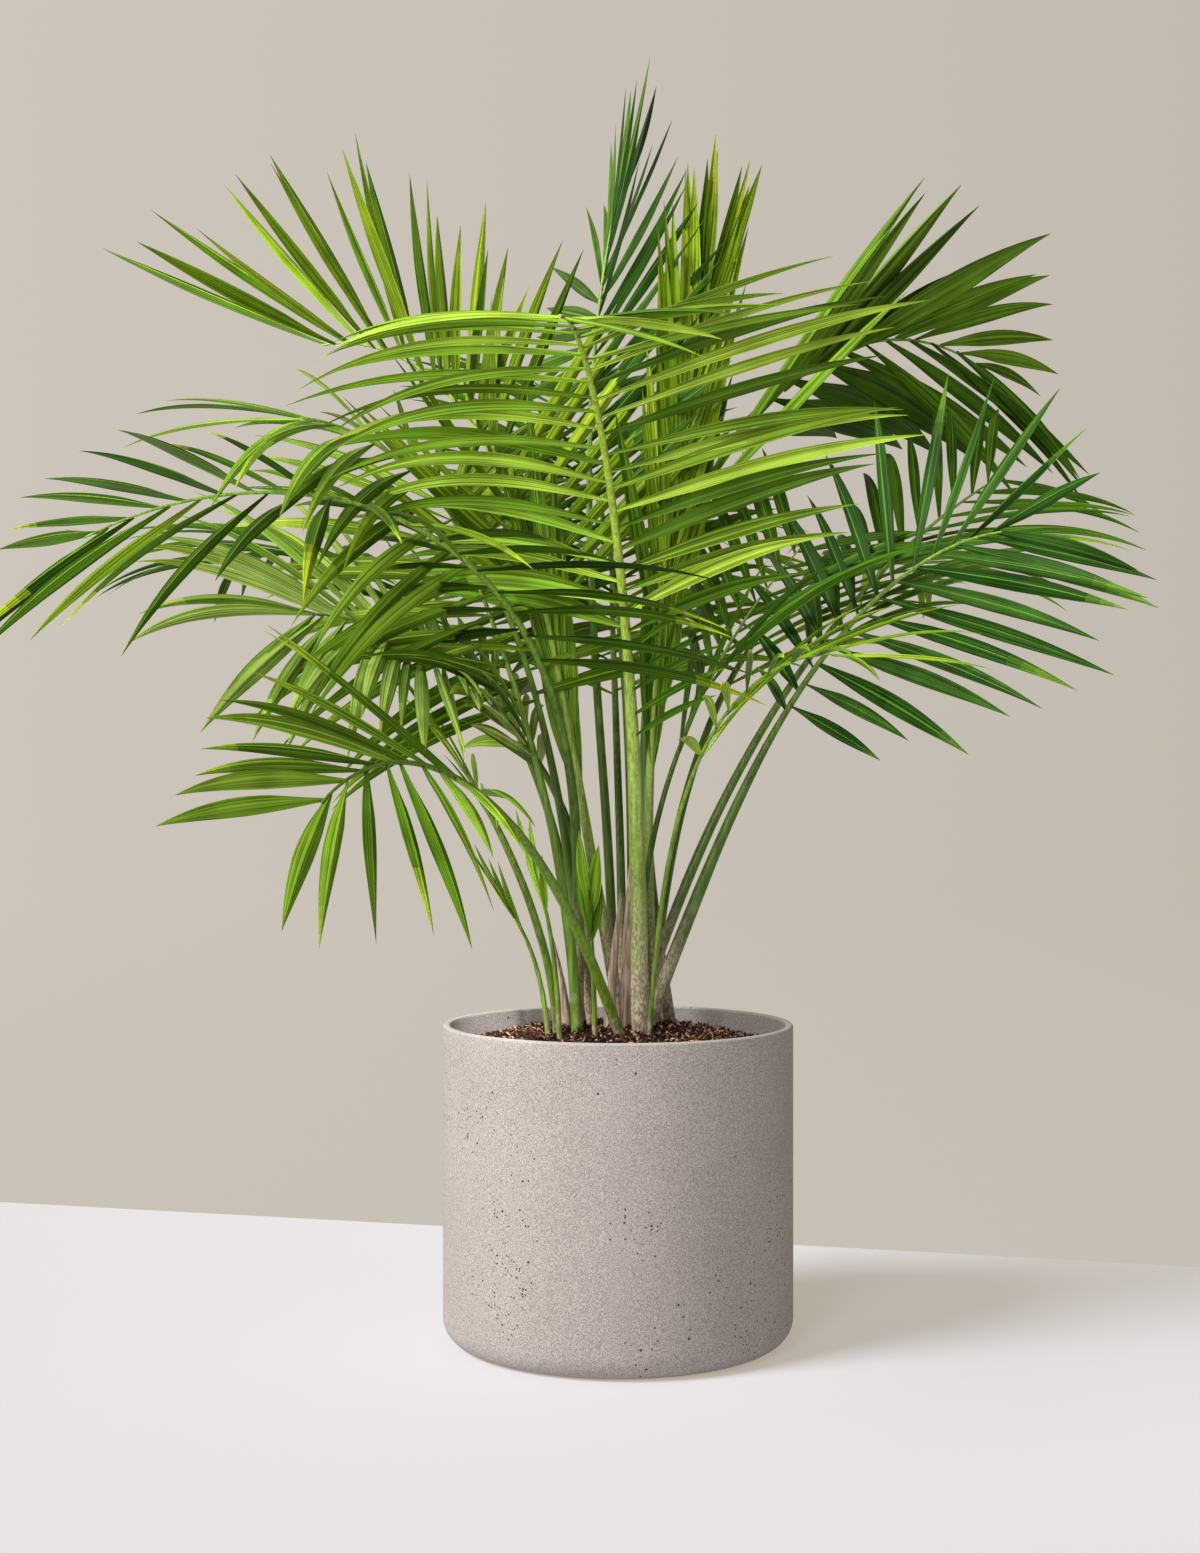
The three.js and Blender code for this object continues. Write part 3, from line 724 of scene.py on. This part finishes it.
def limb_mesh(row, name):
    bm = bar.copy()
    straight = np.array([corner.co for corner in bm.verts])
    below = FOOT_DEPTH / row.length
    share = (straight[:, 2] + 0.5) * (1 + below) - below
    angle = np.arctan2(straight[:, 1], straight[:, 0])
    from_top = np.abs((np.degrees(angle) + 90) % 360 - 180)
    up_stalk = np.clip(share / row.bare, 0, 1)
    channel = CHANNEL_DEPTH * np.exp(-((from_top / CHANNEL_WIDTH) ** 2)) * up_stalk
    phase = chance.uniform(0, math.tau, 3)
    fibres = np.sin(5 * angle + phase[0]) + np.sin(3 * angle + FIBRE_TURNS * share + phase[1])
    relief = FIBRE_RELIEF * fibres * (1 - up_stalk) ** 0.5
    radius = radius_along(row, share) * (1 - channel + relief)
    along, upper, right = directions(row, share)
    sideways = right * (straight[:, :1] * radius[:, None])
    upwards = upper * (straight[:, 1:2] * radius[:, None])
    places = (place_on(row, share) + sideways + upwards) * MM
    for corner, place in zip(bm.verts, places):
        corner.co = place
    return mesh_from(name, bm)


# %% [markdown]
# ## The colours of a stalk
# A stalk is grey-brown and scurfy where it leaves the mix, then turns green, and its rib is a lighter
# yellow-green. The change follows the height above the floor, so the material reads the height from
# the Object coordinates and blends three colours by it. A noise moves the border up and down, and one
# that is stretched along the stalk gives its fibres. There are three kinds: the tall bright stalks are
# scurfy far up and flecked with pale scales, and the low and young ones at the front are fresh down to
# the mix. The others, further back, are a darker green: a painted shade for the shadow in the clump.

# %% Paint the stalks
SCURFY = ("front", "upper_left", "spear")
# Stalks at the front keep a lighter green. Those further back get the darker green, a painted shade.
FRESH = ("low_left", "left_front", "thin_left", "right_low", "young_middle", "young_left", "young_far")
SCURF_DARK = (0.24, 0.194, 0.136)
SCURF_LIGHT = (0.6, 0.485, 0.34)
PALE_SCALE = (0.52, 0.5, 0.27)
BORDER_WANDER = 0.12
RIB_HEIGHTS = (0.5, 0.68)
FIBRE_CONTRAST = (0.68, 1.3)


def stalk_look(green, rib, green_from, green_to, scales=0.0):
    """Two greens, the heights in metres between which the scurf gives way, and the share of scales."""
    return SimpleNamespace(**locals())


STALK_LOOKS = {
    "scurfy": stalk_look((0.225, 0.33, 0.045), (0.36, 0.5, 0.05), 0.3, 0.4, scales=0.32),
    "fresh": stalk_look((0.125, 0.22, 0.018), (0.21, 0.36, 0.04), 0.25, 0.29),
    # The green kind is darker: a painted shade for the stalks that stand in the clump's shadow.
    "green": stalk_look((0.058, 0.115, 0.008), (0.19, 0.33, 0.04), 0.285, 0.385),
}


def stalk_finish(kind, look):
    finish = Finish("stalk_" + kind, roughness=0.42, specular=0.3)
    place = finish.place()
    fibres = finish.noise(finish.scaled(place, 420, 420, 26), scale=1, detail=2)
    patches = finish.noise(place, scale=60, detail=2)
    wander = finish.coordinate(place, "Z") + patches * BORDER_WANDER - BORDER_WANDER / 2
    green = finish.risen(wander, look.green_from, look.green_to)
    upper = finish.risen(wander, *RIB_HEIGHTS)
    flecks = finish.noise(finish.scaled(place, 1, 1, 0.5), scale=560, detail=2)
    scurf = finish.blend(finish.ramp(flecks, 0.42, 0.6), SCURF_DARK, SCURF_LIGHT)
    limb = finish.blend(upper, look.green, look.rib)
    dark, light = (finish.scaled_colour(limb, share) for share in FIBRE_CONTRAST)
    limb = finish.blend(finish.ramp(fibres, 0.34, 0.66), dark, light)
    scales = finish.ramp(flecks, 0.52, 0.6) * (1 - upper) * look.scales
    finish.colour(finish.blend(green, scurf, finish.blend(scales, limb, PALE_SCALE)))
    finish.bump(fibres + flecks * 0.6, strength=0.35, distance=0.5 * MM)
    return finish.material


stalk_finishes = {kind: stalk_finish(kind, look) for kind, look in STALK_LOOKS.items()}
for row in FRONDS:
    limb = limb_mesh(row, "limb_" + row.name)
    # Stalks that are neither scurfy nor at the front get the darker green, a painted shade.
    kind = "scurfy" if row.name in SCURFY else "fresh" if row.name in FRESH else "green"
    skin = [stalk_finishes[kind]]
    as_piece("limb_" + row.name, limb, skin, "stalk", "stalk_" + row.name, "frond_" + row.name)
print("limbs:", len(FRONDS))

# %% [markdown]
# ## Old sheaths
# Between the stalks stand the dry sheaths of fronds that were cut away. They are short limbs of the
# same kind, with no blade, and their top is drawn to a point. So the same bar is bent along a row that
# is all stalk.

# %% The old sheaths
def sheath(name, foot, heading, lean, arch, length, thick):
    return SimpleNamespace(
        name=name, foot=foot, heading=heading, turn=0, lean=lean, arch=arch, late=1,
        length=length, bare=1, thick=thick, slim=0.3,
    )


SHEATHS = [
    sheath("left", (-44, 4), 170, 6, 10, 92, 5),
    sheath("middle", (-8, -22), -30, 3, 6, 120, 5.5),
    sheath("right", (6, -4), 60, 2, 4, 150, 6),
]
SHEATH_DARK = (0.27, 0.18, 0.125)
SHEATH_LIGHT = (0.72, 0.56, 0.44)


def sheath_finish():
    finish = Finish("dry_sheath", roughness=0.75, specular=0.25)
    fibres = finish.noise(finish.scaled(finish.place(), 700, 700, 26), scale=1, detail=3)
    finish.colour(finish.blend(finish.ramp(fibres, 0.35, 0.65), SHEATH_DARK, SHEATH_LIGHT))
    finish.bump(fibres, strength=0.6, distance=0.8 * MM)
    return finish.material


dry = sheath_finish()
for row in SHEATHS:
    row.spine = walk(row)
    name = "dry_sheath_" + row.name
    as_piece(name, limb_mesh(row, name), [dry], "old_sheath", "sheath_" + row.name)
bar.free()
print("old sheaths:", len(SHEATHS))

# %% [markdown]
# ## One leaflet
# A leaflet is a narrow blade, folded along its midrib like a roof, broadest at its middle and drawn
# out to a long point. Its root is pinched and folded tighter. The template is a flat grid with
# a copy of itself as its underside, joined around the rim, so it is closed and has a thickness. Only
# its grid is made here. The fold, the taper and the bend come later, when the corners of every copy
# are worked out at once.

# %% A flat leaflet
LEAFLET_RINGS = 16
LEAFLET_COLUMNS = (-1, -0.62, -0.3, -0.075, 0.075, 0.3, 0.62, 1)


def flat_leaflet():
    """Corners as (across from -1 to 1, along from 0 to 1, 0 on top and -1 below), and faces."""
    bm = bmesh.new()
    columns = len(LEAFLET_COLUMNS) - 1
    bmesh.ops.create_grid(bm, x_segments=columns, y_segments=LEAFLET_RINGS, size=0.5)
    top = list(bm.faces)
    under = bmesh.ops.duplicate(bm, geom=top)["geom"]
    under_faces = [part for part in under if isinstance(part, bmesh.types.BMFace)]
    bmesh.ops.reverse_faces(bm, faces=under_faces)
    for part in under:
        if isinstance(part, bmesh.types.BMVert) and max(abs(part.co.x), abs(part.co.y)) < 0.499:
            part.co.z = -1
    bmesh.ops.remove_doubles(bm, verts=bm.verts, dist=1e-4)
    for corner in bm.verts:
        column = round((corner.co.x + 0.5) * columns)
        corner.co.x = LEAFLET_COLUMNS[column]
        corner.co.y += 0.5
    return as_arrays(bm)


LEAFLET_CORNERS, LEAFLET_FACES = flat_leaflet()
print("one leaflet:", len(LEAFLET_CORNERS), "corners,", len(LEAFLET_FACES), "faces")

# %% [markdown]
# ## Growing a leaflet
# A leaflet leaves the rib at its angle and then sinks by its own weight, more and more towards its
# tip. Its line is walked like the frond's, and the flat template is laid along that line: across is
# measured to both sides, and the fold lowers both edges. A few draws of chance turn, twist and bend
# each leaflet a little, because no two on a real frond are alike. A leaflet below the blade of a frond
# that is still opening does not stand off at all yet, but hugs the stalk.

# %% Lines of the leaflets
BEND_LATE = 1.8
FULLEST_AT = 0.45
STEPS = np.arange(LEAFLET_RINGS)


def length_share(row, up_blade):
    first, last = row.ends
    if up_blade < FULLEST_AT:
        return first + (1 - first) * math.sin(up_blade / FULLEST_AT * math.pi / 2)
    return 1 + (last - 1) * ((up_blade - FULLEST_AT) / (1 - FULLEST_AT)) ** 2


def between(three, share):
    """A value between the three at a blade's start, middle and tip."""
    return float(np.interp(share, (0, 0.5, 1), three))


def unit(vectors):
    return vectors / np.linalg.norm(vectors, axis=-1, keepdims=True)


def leaflet_line(row, up_blade, side, more_open, more_lift, size, droop):
    """Points, ways and the facing of a leaflet that grows on the right (side 1) or left (side -1)."""
    angles = row.right if side > 0 else row.left
    share = row.bare + (1 - row.bare) * up_blade
    along, upper, right = (vector[0] for vector in directions(row, share))
    own_open = row.clasp if up_blade < 0 and row.clasp else between(angles.open, up_blade)
    opening = math.radians(own_open + more_open)
    lift = math.radians(between(angles.lift, up_blade) + more_lift)
    outward = side * math.cos(lift) * right + math.sin(lift) * upper
    start = math.cos(opening) * along + math.sin(opening) * outward
    facing = side * np.cross(outward, along)
    length = angles.longest * length_share(row, up_blade) * size
    bend = angles.droop * droop * ((STEPS + 0.5) / LEAFLET_RINGS) ** BEND_LATE
    ways = unit(start - bend[:, None] * UP)
    root = place_on(row, share)[0]
    points = np.vstack([root, root + np.cumsum(ways * length / LEAFLET_RINGS, axis=0)])
    return points, ways, facing


# %% Lay the template along a line
ROOT_WIDTH = 0.28
LEAST_WIDTH = 0.02
WIDEST_AT = 0.5
TIP_SHARPNESS = 1.6
BLADE_THICKNESS = 0.5
THIN_UNDER = 3
ROOT_SHARE = 0.3
ROOT_FOLD = 1.2
RIPPLE = 0.05
RIPPLE_TURNS = 9


def width_along(share):
    """How broad a leaflet is at shares of its length, as a share of its full width."""
    swelling = ROOT_WIDTH + (1 - ROOT_WIDTH) * np.sin(np.clip(share / WIDEST_AT, 0, 1) * math.pi / 2)
    narrowing = 1 - np.clip((share - WIDEST_AT) / (1 - WIDEST_AT), 0, 1) ** TIP_SHARPNESS
    return np.maximum(swelling * narrowing, LEAST_WIDTH)


def laid_leaflet(width, points, ways, facing, fold, twist):
    """The corners of one leaflet in millimetres."""
    across, along, below = LEAFLET_CORNERS.T
    ring = np.round(along * LEAFLET_RINGS).astype(int)
    middle_ways = unit(np.vstack([ways[:1], ways[:-1] + ways[1:], ways[-1:]]))
    above = unit(facing - (middle_ways @ facing)[:, None] * middle_ways)
    sideways = np.cross(middle_ways, above)
    turned = np.radians(twist * np.arange(LEAFLET_RINGS + 1) / LEAFLET_RINGS)[:, None]
    sideways, above = (
        np.cos(turned) * sideways + np.sin(turned) * above,
        np.cos(turned) * above - np.sin(turned) * sideways,
    )
    half = width / 2 * width_along(along)
    folded = np.radians(fold * (1 + ROOT_FOLD * (1 - np.minimum(along / ROOT_SHARE, 1))))
    out = across * half * np.cos(folded)
    height = -np.abs(across) * half * np.sin(folded)
    height += RIPPLE * half * np.cos(RIPPLE_TURNS * across)
    height += below * BLADE_THICKNESS * np.minimum(half / THIN_UNDER, 1)
    return points[ring] + sideways[ring] * out[:, None] + above[ring] * height[:, None]


# %% [markdown]
# ## Room to grow
# A leaflet never grows through a stalk: it would have been pushed aside as it unfolded. So before a
# leaflet is laid its line is compared with the lines of all the other limbs, and if it comes too
# close a few other ways are tried, and the first that has room is kept, or else the one with the most
# room. A way is how much more the leaflet opens and lifts, in degrees, and what share of its length it
# keeps.

# %% Find room
WAYS_TO_FIT = [
    (0, 0, 1), (-7, 0, 1), (7, 0, 1), (0, 10, 0.97), (0, -10, 0.97),
    (-12, 8, 0.9), (10, -12, 0.9), (0, 18, 0.85), (0, -18, 0.85), (0, 0, 0.7),
]
ROOM = 4
LIMB_PROBES = 90

limb_shares = np.linspace(0, 1, LIMB_PROBES)
limb_points = np.vstack([place_on(row, limb_shares) for row in FRONDS])
limb_radii = np.hstack([radius_along(row, limb_shares) for row in FRONDS])
limb_owners = np.repeat([row.name for row in FRONDS], len(limb_shares))


def room_round(row, points):
    """The least clear distance from a leaflet's line to any other limb."""
    others = limb_owners != row.name
    gaps = np.linalg.norm(points[2:, None] - limb_points[others][None], axis=2) - limb_radii[others]
    return gaps.min()


def fitted_line(row, up_blade, side, sway, droop):
    tried = []
    for more_open, more_lift, size in WAYS_TO_FIT:
        turned = (more_open + sway[0], more_lift + sway[1], size * sway[2], droop)
        line = leaflet_line(row, up_blade, side, *turned)
        tried.append((room_round(row, line[0]), line))
        if tried[-1][0] > ROOM:
            return line
    return max(tried, key=lambda pair: pair[0])[1]


# %% [markdown]
# ## The colours of the leaflets
# New fronds are yellow-green, old ones deep green, and two have a bluish bloom. A colour that belongs
# to one leaflet is not painted by a texture: each leaflet is dealt one of a family's three plain
# tints, its midrib has a paler one, and some tips turn yellow in a few steps. Inside a tint the
# material draws the fine veins that run along the blade, from the leaflet's own flat map.

# %% Choose the leaf colours
def leaf_family(*tints, midrib, tip):
    return SimpleNamespace(tints=tints, midrib=midrib, tip=tip)


LEAF_FAMILIES = {
    "bright": leaf_family((0.19, 0.34, 0.012), (0.3, 0.48, 0.022), (0.1, 0.21, 0.007),
                          midrib=(0.42, 0.55, 0.05), tip=(0.38, 0.5, 0.025)),
    "pale": leaf_family((0.23, 0.41, 0.028), (0.34, 0.53, 0.045), (0.13, 0.25, 0.012),
                        midrib=(0.5, 0.64, 0.13), tip=(0.42, 0.54, 0.06)),
    "olive": leaf_family((0.16, 0.275, 0.009), (0.29, 0.425, 0.018), (0.06, 0.135, 0.004),
                         midrib=(0.34, 0.44, 0.03), tip=(0.32, 0.4, 0.02)),
    "leafy": leaf_family((0.16, 0.275, 0.02), (0.3, 0.44, 0.04), (0.065, 0.14, 0.008),
                         midrib=(0.44, 0.56, 0.08), tip=(0.38, 0.5, 0.045)),
    "middle": leaf_family((0.145, 0.275, 0.016), (0.22, 0.38, 0.028), (0.075, 0.165, 0.007),
                          midrib=(0.26, 0.4, 0.035), tip=(0.28, 0.41, 0.02)),
    "grey": leaf_family((0.3, 0.45, 0.075), (0.43, 0.58, 0.12), (0.16, 0.29, 0.03),
                        midrib=(0.42, 0.52, 0.12), tip=(0.34, 0.46, 0.05)),
    "deep": leaf_family((0.095, 0.195, 0.011), (0.125, 0.235, 0.014), (0.054, 0.124, 0.007),
                        midrib=(0.2, 0.34, 0.025), tip=(0.24, 0.37, 0.02)),
    "dark": leaf_family((0.044, 0.115, 0.005), (0.065, 0.15, 0.007), (0.032, 0.086, 0.004),
                        midrib=(0.11, 0.23, 0.015), tip=(0.14, 0.25, 0.012)),
    "shade": leaf_family((0.032, 0.076, 0.003), (0.12, 0.2, 0.008), (0.012, 0.036, 0.002),
                         midrib=(0.13, 0.24, 0.012), tip=(0.27, 0.36, 0.014)),
    "blue": leaf_family((0.023, 0.072, 0.008), (0.036, 0.096, 0.012), (0.014, 0.048, 0.005),
                        midrib=(0.085, 0.19, 0.02), tip=(0.09, 0.19, 0.015)),
}
print("families of leaf colours:", len(LEAF_FAMILIES))

# %% Paint the leaflets
LEAF_MAP = "leaf_map"
TIP_STEPS = (0.3, 0.65, 1)
VEIN_CONTRAST = (0.52, 1.46)
TINTS = 3
MIDRIB_SLOT = TINTS
TIP_SLOT = MIDRIB_SLOT + 1
FAMILY_SLOTS = TIP_SLOT + len(TIP_STEPS)


def leaf_finish(name, colour):
    finish = Finish(name, roughness=0.42, specular=0.06)
    flat = finish.node("ShaderNodeUVMap", {"uv_map": LEAF_MAP})
    veins = finish.noise(finish.scaled(flat, 10, 0.5, 1), scale=1, detail=2, roughness=0.5)
    clouds = finish.noise(finish.place(), scale=22, detail=1)
    share = finish.ramp(veins * 0.85 + clouds * 0.25, 0.46, 0.64)
    finish.colour(finish.blend(share, *(tuple(c * part for c in colour) for part in VEIN_CONTRAST)))
    finish.roughness(veins * 0.2 + 0.36)
    finish.bump(veins, strength=0.3, distance=0.5 * MM)
    return finish.material


def family_finishes(name, family):
    """The materials of one family: its tints, its midrib, and the steps of its yellow tips."""
    finishes = [leaf_finish(f"leaf_{name}_{i}", tint) for i, tint in enumerate(family.tints)]
    finishes.append(leaf_finish(f"midrib_{name}", family.midrib))
    for i, step in enumerate(TIP_STEPS):
        colour = tuple(a + (b - a) * step for a, b in zip(family.tints[0], family.tip))
        finishes.append(leaf_finish(f"tip_{name}_{i}", colour))
    return finishes


LEAF_MATERIALS = {name: family_finishes(name, family) for name, family in LEAF_FAMILIES.items()}
print("leaf materials:", len(LEAF_MATERIALS) * FAMILY_SLOTS)

# %% [markdown]
# ## All leaflets of a frond
# The leaflets are laid one by one, alternately on the two sides, and their corners are stacked into
# one array. The faces of the template are repeated with a shift in their numbers. So a frond with
# forty leaflets is written as one mesh in one go, which is many times faster than joining objects.
# Three fronds also have a few leaflets below the blade, on the stalk. On the front one they are small
# and narrow. On the two others they have not opened yet, and lie pleated against the stalk.

# %% Shape and paint the leaflets
PAIR_STAGGER = 0.15
SWAY = (2.2, 3)
SIZE_SPREAD = 0.04
DROOPS = (0.8, 1.25)
FOLDS = (16, 34)
TWIST = 14
WIDTHS = (0.85, 1.12)
FUSED_WIDTH = 1.9
EARLY_SIZE = 0.6
EARLY_WIDTH = 0.5
YELLOW_FROM = (0.6, 0.85)
NEVER_YELLOW = 2
TINT_SHARES = (0.5, 0.25, 0.25)
face_middles = LEAFLET_CORNERS[LEAFLET_FACES].mean(1)
on_midrib = (np.abs(face_middles[:, 0]) < 0.05) & (face_middles[:, 2] > -0.5)


def broadness(row, pair, side):
    """A leaflet's width, as a share of the frond's usual one."""
    first, after = row.fused_right if side > 0 else row.fused_left
    if first <= pair < after:
        return FUSED_WIDTH
    return EARLY_WIDTH if pair < 0 and not row.clasp else 1


def blade_corners(row, growing):
    """The corners of a frond's leaflets, each a pair's number and a side, and how each is painted."""
    laid = []
    paints = []
    for pair, side in growing:
        stagger = PAIR_STAGGER * side + chance.uniform(-PAIR_STAGGER, PAIR_STAGGER)
        up_blade = (pair + 0.5 + stagger) / row.pairs
        sway = chance.normal(0, (SWAY[0] * row.wild, SWAY[1] * row.wild, SIZE_SPREAD))
        sway[2] += 1 if pair >= 0 or row.clasp else EARLY_SIZE
        droop = chance.uniform(*DROOPS)
        line = fitted_line(row, up_blade, side, sway, droop)
        fold = chance.uniform(*FOLDS)
        twist = chance.normal(0, TWIST * row.wild)
        width = row.width * chance.uniform(*WIDTHS) * broadness(row, pair, side)
        laid.append(laid_leaflet(width, *line, fold, twist))
        yellow_from = chance.uniform(*YELLOW_FROM) if chance.random() < row.tips else NEVER_YELLOW
        paint = np.full(len(LEAFLET_FACES), chance.choice(TINTS, p=TINT_SHARES))
        paint[on_midrib] = MIDRIB_SLOT
        for step in range(len(TIP_STEPS)):
            paint[face_middles[:, 1] > yellow_from + step / LEAFLET_RINGS] = TIP_SLOT + step
        if side < 0 and row.left_tint:
            paint += FAMILY_SLOTS
        paints.append(paint)
    return np.array(laid), np.array(paints)


# %% Grow the blades
MAP_SHIFT = (0, 7)
on_rim = (np.abs(LEAFLET_CORNERS[:, 0]) > 0.99) | (np.abs(LEAFLET_CORNERS[:, 1] - 0.5) > 0.499)


def blade_mesh(name, row, growing):
    laid, paints = blade_corners(row, growing)
    mesh = joined(name, laid * MM, LEAFLET_FACES)
    mesh.polygons.foreach_set("material_index", paints.ravel())
    mesh.shade_smooth()
    flat = LEAFLET_CORNERS[LEAFLET_FACES][..., :2] * (0.5, 1) + (0.5, 0)
    flats = flat[None] + np.arange(len(laid))[:, None, None, None] * MAP_SHIFT
    mesh.uv_layers.new(name=LEAF_MAP).data.foreach_set("uv", flats.ravel())
    ends = np.empty(2 * len(mesh.edges), int)
    mesh.edges.foreach_get("vertices", ends)
    sharp = on_rim[ends.reshape(-1, 2) % len(LEAFLET_CORNERS)].all(1)
    mesh.attributes.new("sharp_edge", "BOOLEAN", "EDGE").data.foreach_set("value", sharp)
    return mesh


def grow(name, row, growing, tint, left_tint):
    blade = blade_mesh(name, row, growing)
    materials = LEAF_MATERIALS[tint]
    if row.left_tint:
        materials = materials + LEAF_MATERIALS[left_tint]
    as_piece(name, blade, materials, "frond_" + row.colour, "frond_" + row.name)
    return 2 * len(blade.polygons)


triangles = 0
for row in FRONDS:
    growing = [(pair, side) for pair in range(row.pairs) for side in (1, -1)]
    triangles += grow("leaflets_" + row.name, row, growing, row.tint or row.colour, row.left_tint)
for row in FRONDS:
    growing = [(-1 - i, 1) for i in range(row.early_right)]
    growing += [(-1 - i, -1) for i in range(row.early_left)]
    tint = "deep" if row.clasp else "dark"
    if growing:
        triangles += grow("low_leaflets_" + row.name, row, growing, tint, tint)
print("leaflet triangles:", triangles)

# %% [markdown]
# ## Floor and backdrop
# The palm stands on a near-white floor in front of a warm grey backdrop. Both are one large sheet: it
# is cut along a line on the floor, the far part gets the backdrop's colour, and its end is bent up
# into a wall far behind, so that no frond can touch it. The backdrop glows with its own colour, as if
# it had lights to itself, so no shadow falls on it. The floor glows a little too, which keeps it
# bright where the plant's shadow lies.

# %% Lay the floor
FLOOR_SIZE = 12
SEAM_POINT = (-0.707, 0.615, 0)
SEAM_DIRECTION = (1.291, -0.337, 0)
FLOOR_COLOUR = (0.445, 0.467, 0.569)
FLOOR_GLOW = (0.347, 0.3, 0.229)
BACKDROP_LEFT = (0.63, 0.575, 0.505)
BACKDROP_RIGHT = (0.53, 0.485, 0.415)
BACKDROP_REACH = 3


def floor_finish():
    finish = Finish("floor_white", roughness=0.9, specular=0.1)
    finish.shader.inputs["Base Color"].default_value = (*FLOOR_COLOUR, 1)
    finish.shader.inputs["Emission Color"].default_value = (*FLOOR_GLOW, 1)
    finish.shader.inputs["Emission Strength"].default_value = 1
    return finish.material


def backdrop_finish():
    """A backdrop that is lit evenly by lights of its own, a little brighter on the left."""
    finish = Finish("backdrop_warm_grey", roughness=1, specular=0)
    finish.colour((0, 0, 0, 1))
    to_right = finish.risen(finish.coordinate(finish.place(), "X"), -BACKDROP_REACH, BACKDROP_REACH)
    glow = finish.blend(to_right, BACKDROP_LEFT, BACKDROP_RIGHT)
    feed(finish.tree, finish.shader.inputs["Emission Color"], glow)
    finish.shader.inputs["Emission Strength"].default_value = 1
    return finish.material


bm = bmesh.new()
bmesh.ops.create_grid(bm, x_segments=1, y_segments=1, size=FLOOR_SIZE / 2)
normal = Vector(SEAM_DIRECTION).cross(Vector((0, 0, 1)))
sheet = bm.verts[:] + bm.edges[:] + bm.faces[:]
bmesh.ops.bisect_plane(bm, geom=sheet, plane_co=SEAM_POINT, plane_no=normal)
far_edges = [edge for edge in bm.edges if all(v.co.y > FLOOR_SIZE / 2 - 0.01 for v in edge.verts)]
wall = bmesh.ops.extrude_edge_only(bm, edges=far_edges)["geom"]
for part in wall:
    if isinstance(part, bmesh.types.BMVert):
        part.co.z += FLOOR_SIZE / 2
for face in bm.faces:
    middle = face.calc_center_median()
    face.material_index = int((middle - Vector(SEAM_POINT)).dot(normal) < 0)
floor_mesh = bpy.data.meshes.new("floor")
bm.to_mesh(floor_mesh)
bm.free()
floor_mesh.materials.append(floor_finish())
floor_mesh.materials.append(backdrop_finish())
floor = added("floor", floor_mesh)
floor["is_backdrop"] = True
print("floor and wall:", len(floor_mesh.polygons), "faces")

# %% [markdown]
# ## The lights
# One large soft light stands high on the left and in front. A sun with a wide angle gives it, because
# a sun lights every leaf alike, however near. Four weaker lamps brighten what it leaves dark: the front
# of the crown, its underside, the pot's right side, and the inside of the rim. They are spots and not
# area lights, because a spot's cone keeps off the floor nearby. A pale sky does the rest.

# %% Set the lights
KEY_POWER = 3.9
KEY_ANGLE = 24
KEY_COLOUR = (1, 0.988, 0.965)
SKY_COLOUR = (1, 0.955, 0.88, 1)
SKY_POWER = 0.26


def aimed_light(data, place, target):
    light = added(data.name, data)
    light.location = place
    light.rotation_euler = (Vector(target) - Vector(place)).to_track_quat("-Z", "Y").to_euler()


def spot_light(name, place, target, power, cone, blend, size):
    """A lamp that lights only what lies in its cone. A large size makes its shadows soft."""
    data = bpy.data.lights.new(name, "SPOT")
    data.energy = power
    data.spot_size = math.radians(cone)
    data.spot_blend = blend
    data.shadow_soft_size = size
    aimed_light(data, place, target)


key_data = bpy.data.lights.new("key", "SUN")
key_data.energy = KEY_POWER
key_data.angle = math.radians(KEY_ANGLE)
key_data.color = KEY_COLOUR
aimed_light(key_data, (-2.3, -1.3, 1.9), (0, 0, 0))
spot_light("canopy", (-0.9, -2.8, 1.9), (0, 0, 0.85), power=170, cone=34, blend=0.6, size=0.5)
spot_light("under_canopy", (-0.7, -1.5, 0.72), (-0.05, 0, 0.72), power=46, cone=44, blend=0.7, size=0.25)
spot_light("pot_side", (1.7, -1.5, 0.2), (0.1, 0, 0.13), power=20, cone=12, blend=0.9, size=0.3)
spot_light("rim_glow", (-0.02, -0.4, 0.37), (-0.122, 0.072, 0.262),
           power=13, cone=12, blend=0.9, size=0.02)

world = bpy.data.worlds.new("pale_sky")
world.use_nodes = True
sky = world.node_tree.nodes["Background"]
sky.inputs["Color"].default_value = SKY_COLOUR
sky.inputs["Strength"].default_value = SKY_POWER
bpy.context.scene.world = world
bpy.context.scene.view_settings.view_transform = "Standard"
print("lights:", len(bpy.data.lights))

# %% [markdown]
# ## Measuring the result
# Both boxes, the plain model's and the dressed palm's, are printed, so that their sizes can be
# compared after each run. The dressed palm must keep to the plain one's size, apart from a few
# millimetres.

# %% Print the boxes
boxes = {"cad": [list(corner) for corner in CAD_BOX], "visual": [list(corner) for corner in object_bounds()]}
print(boxes)
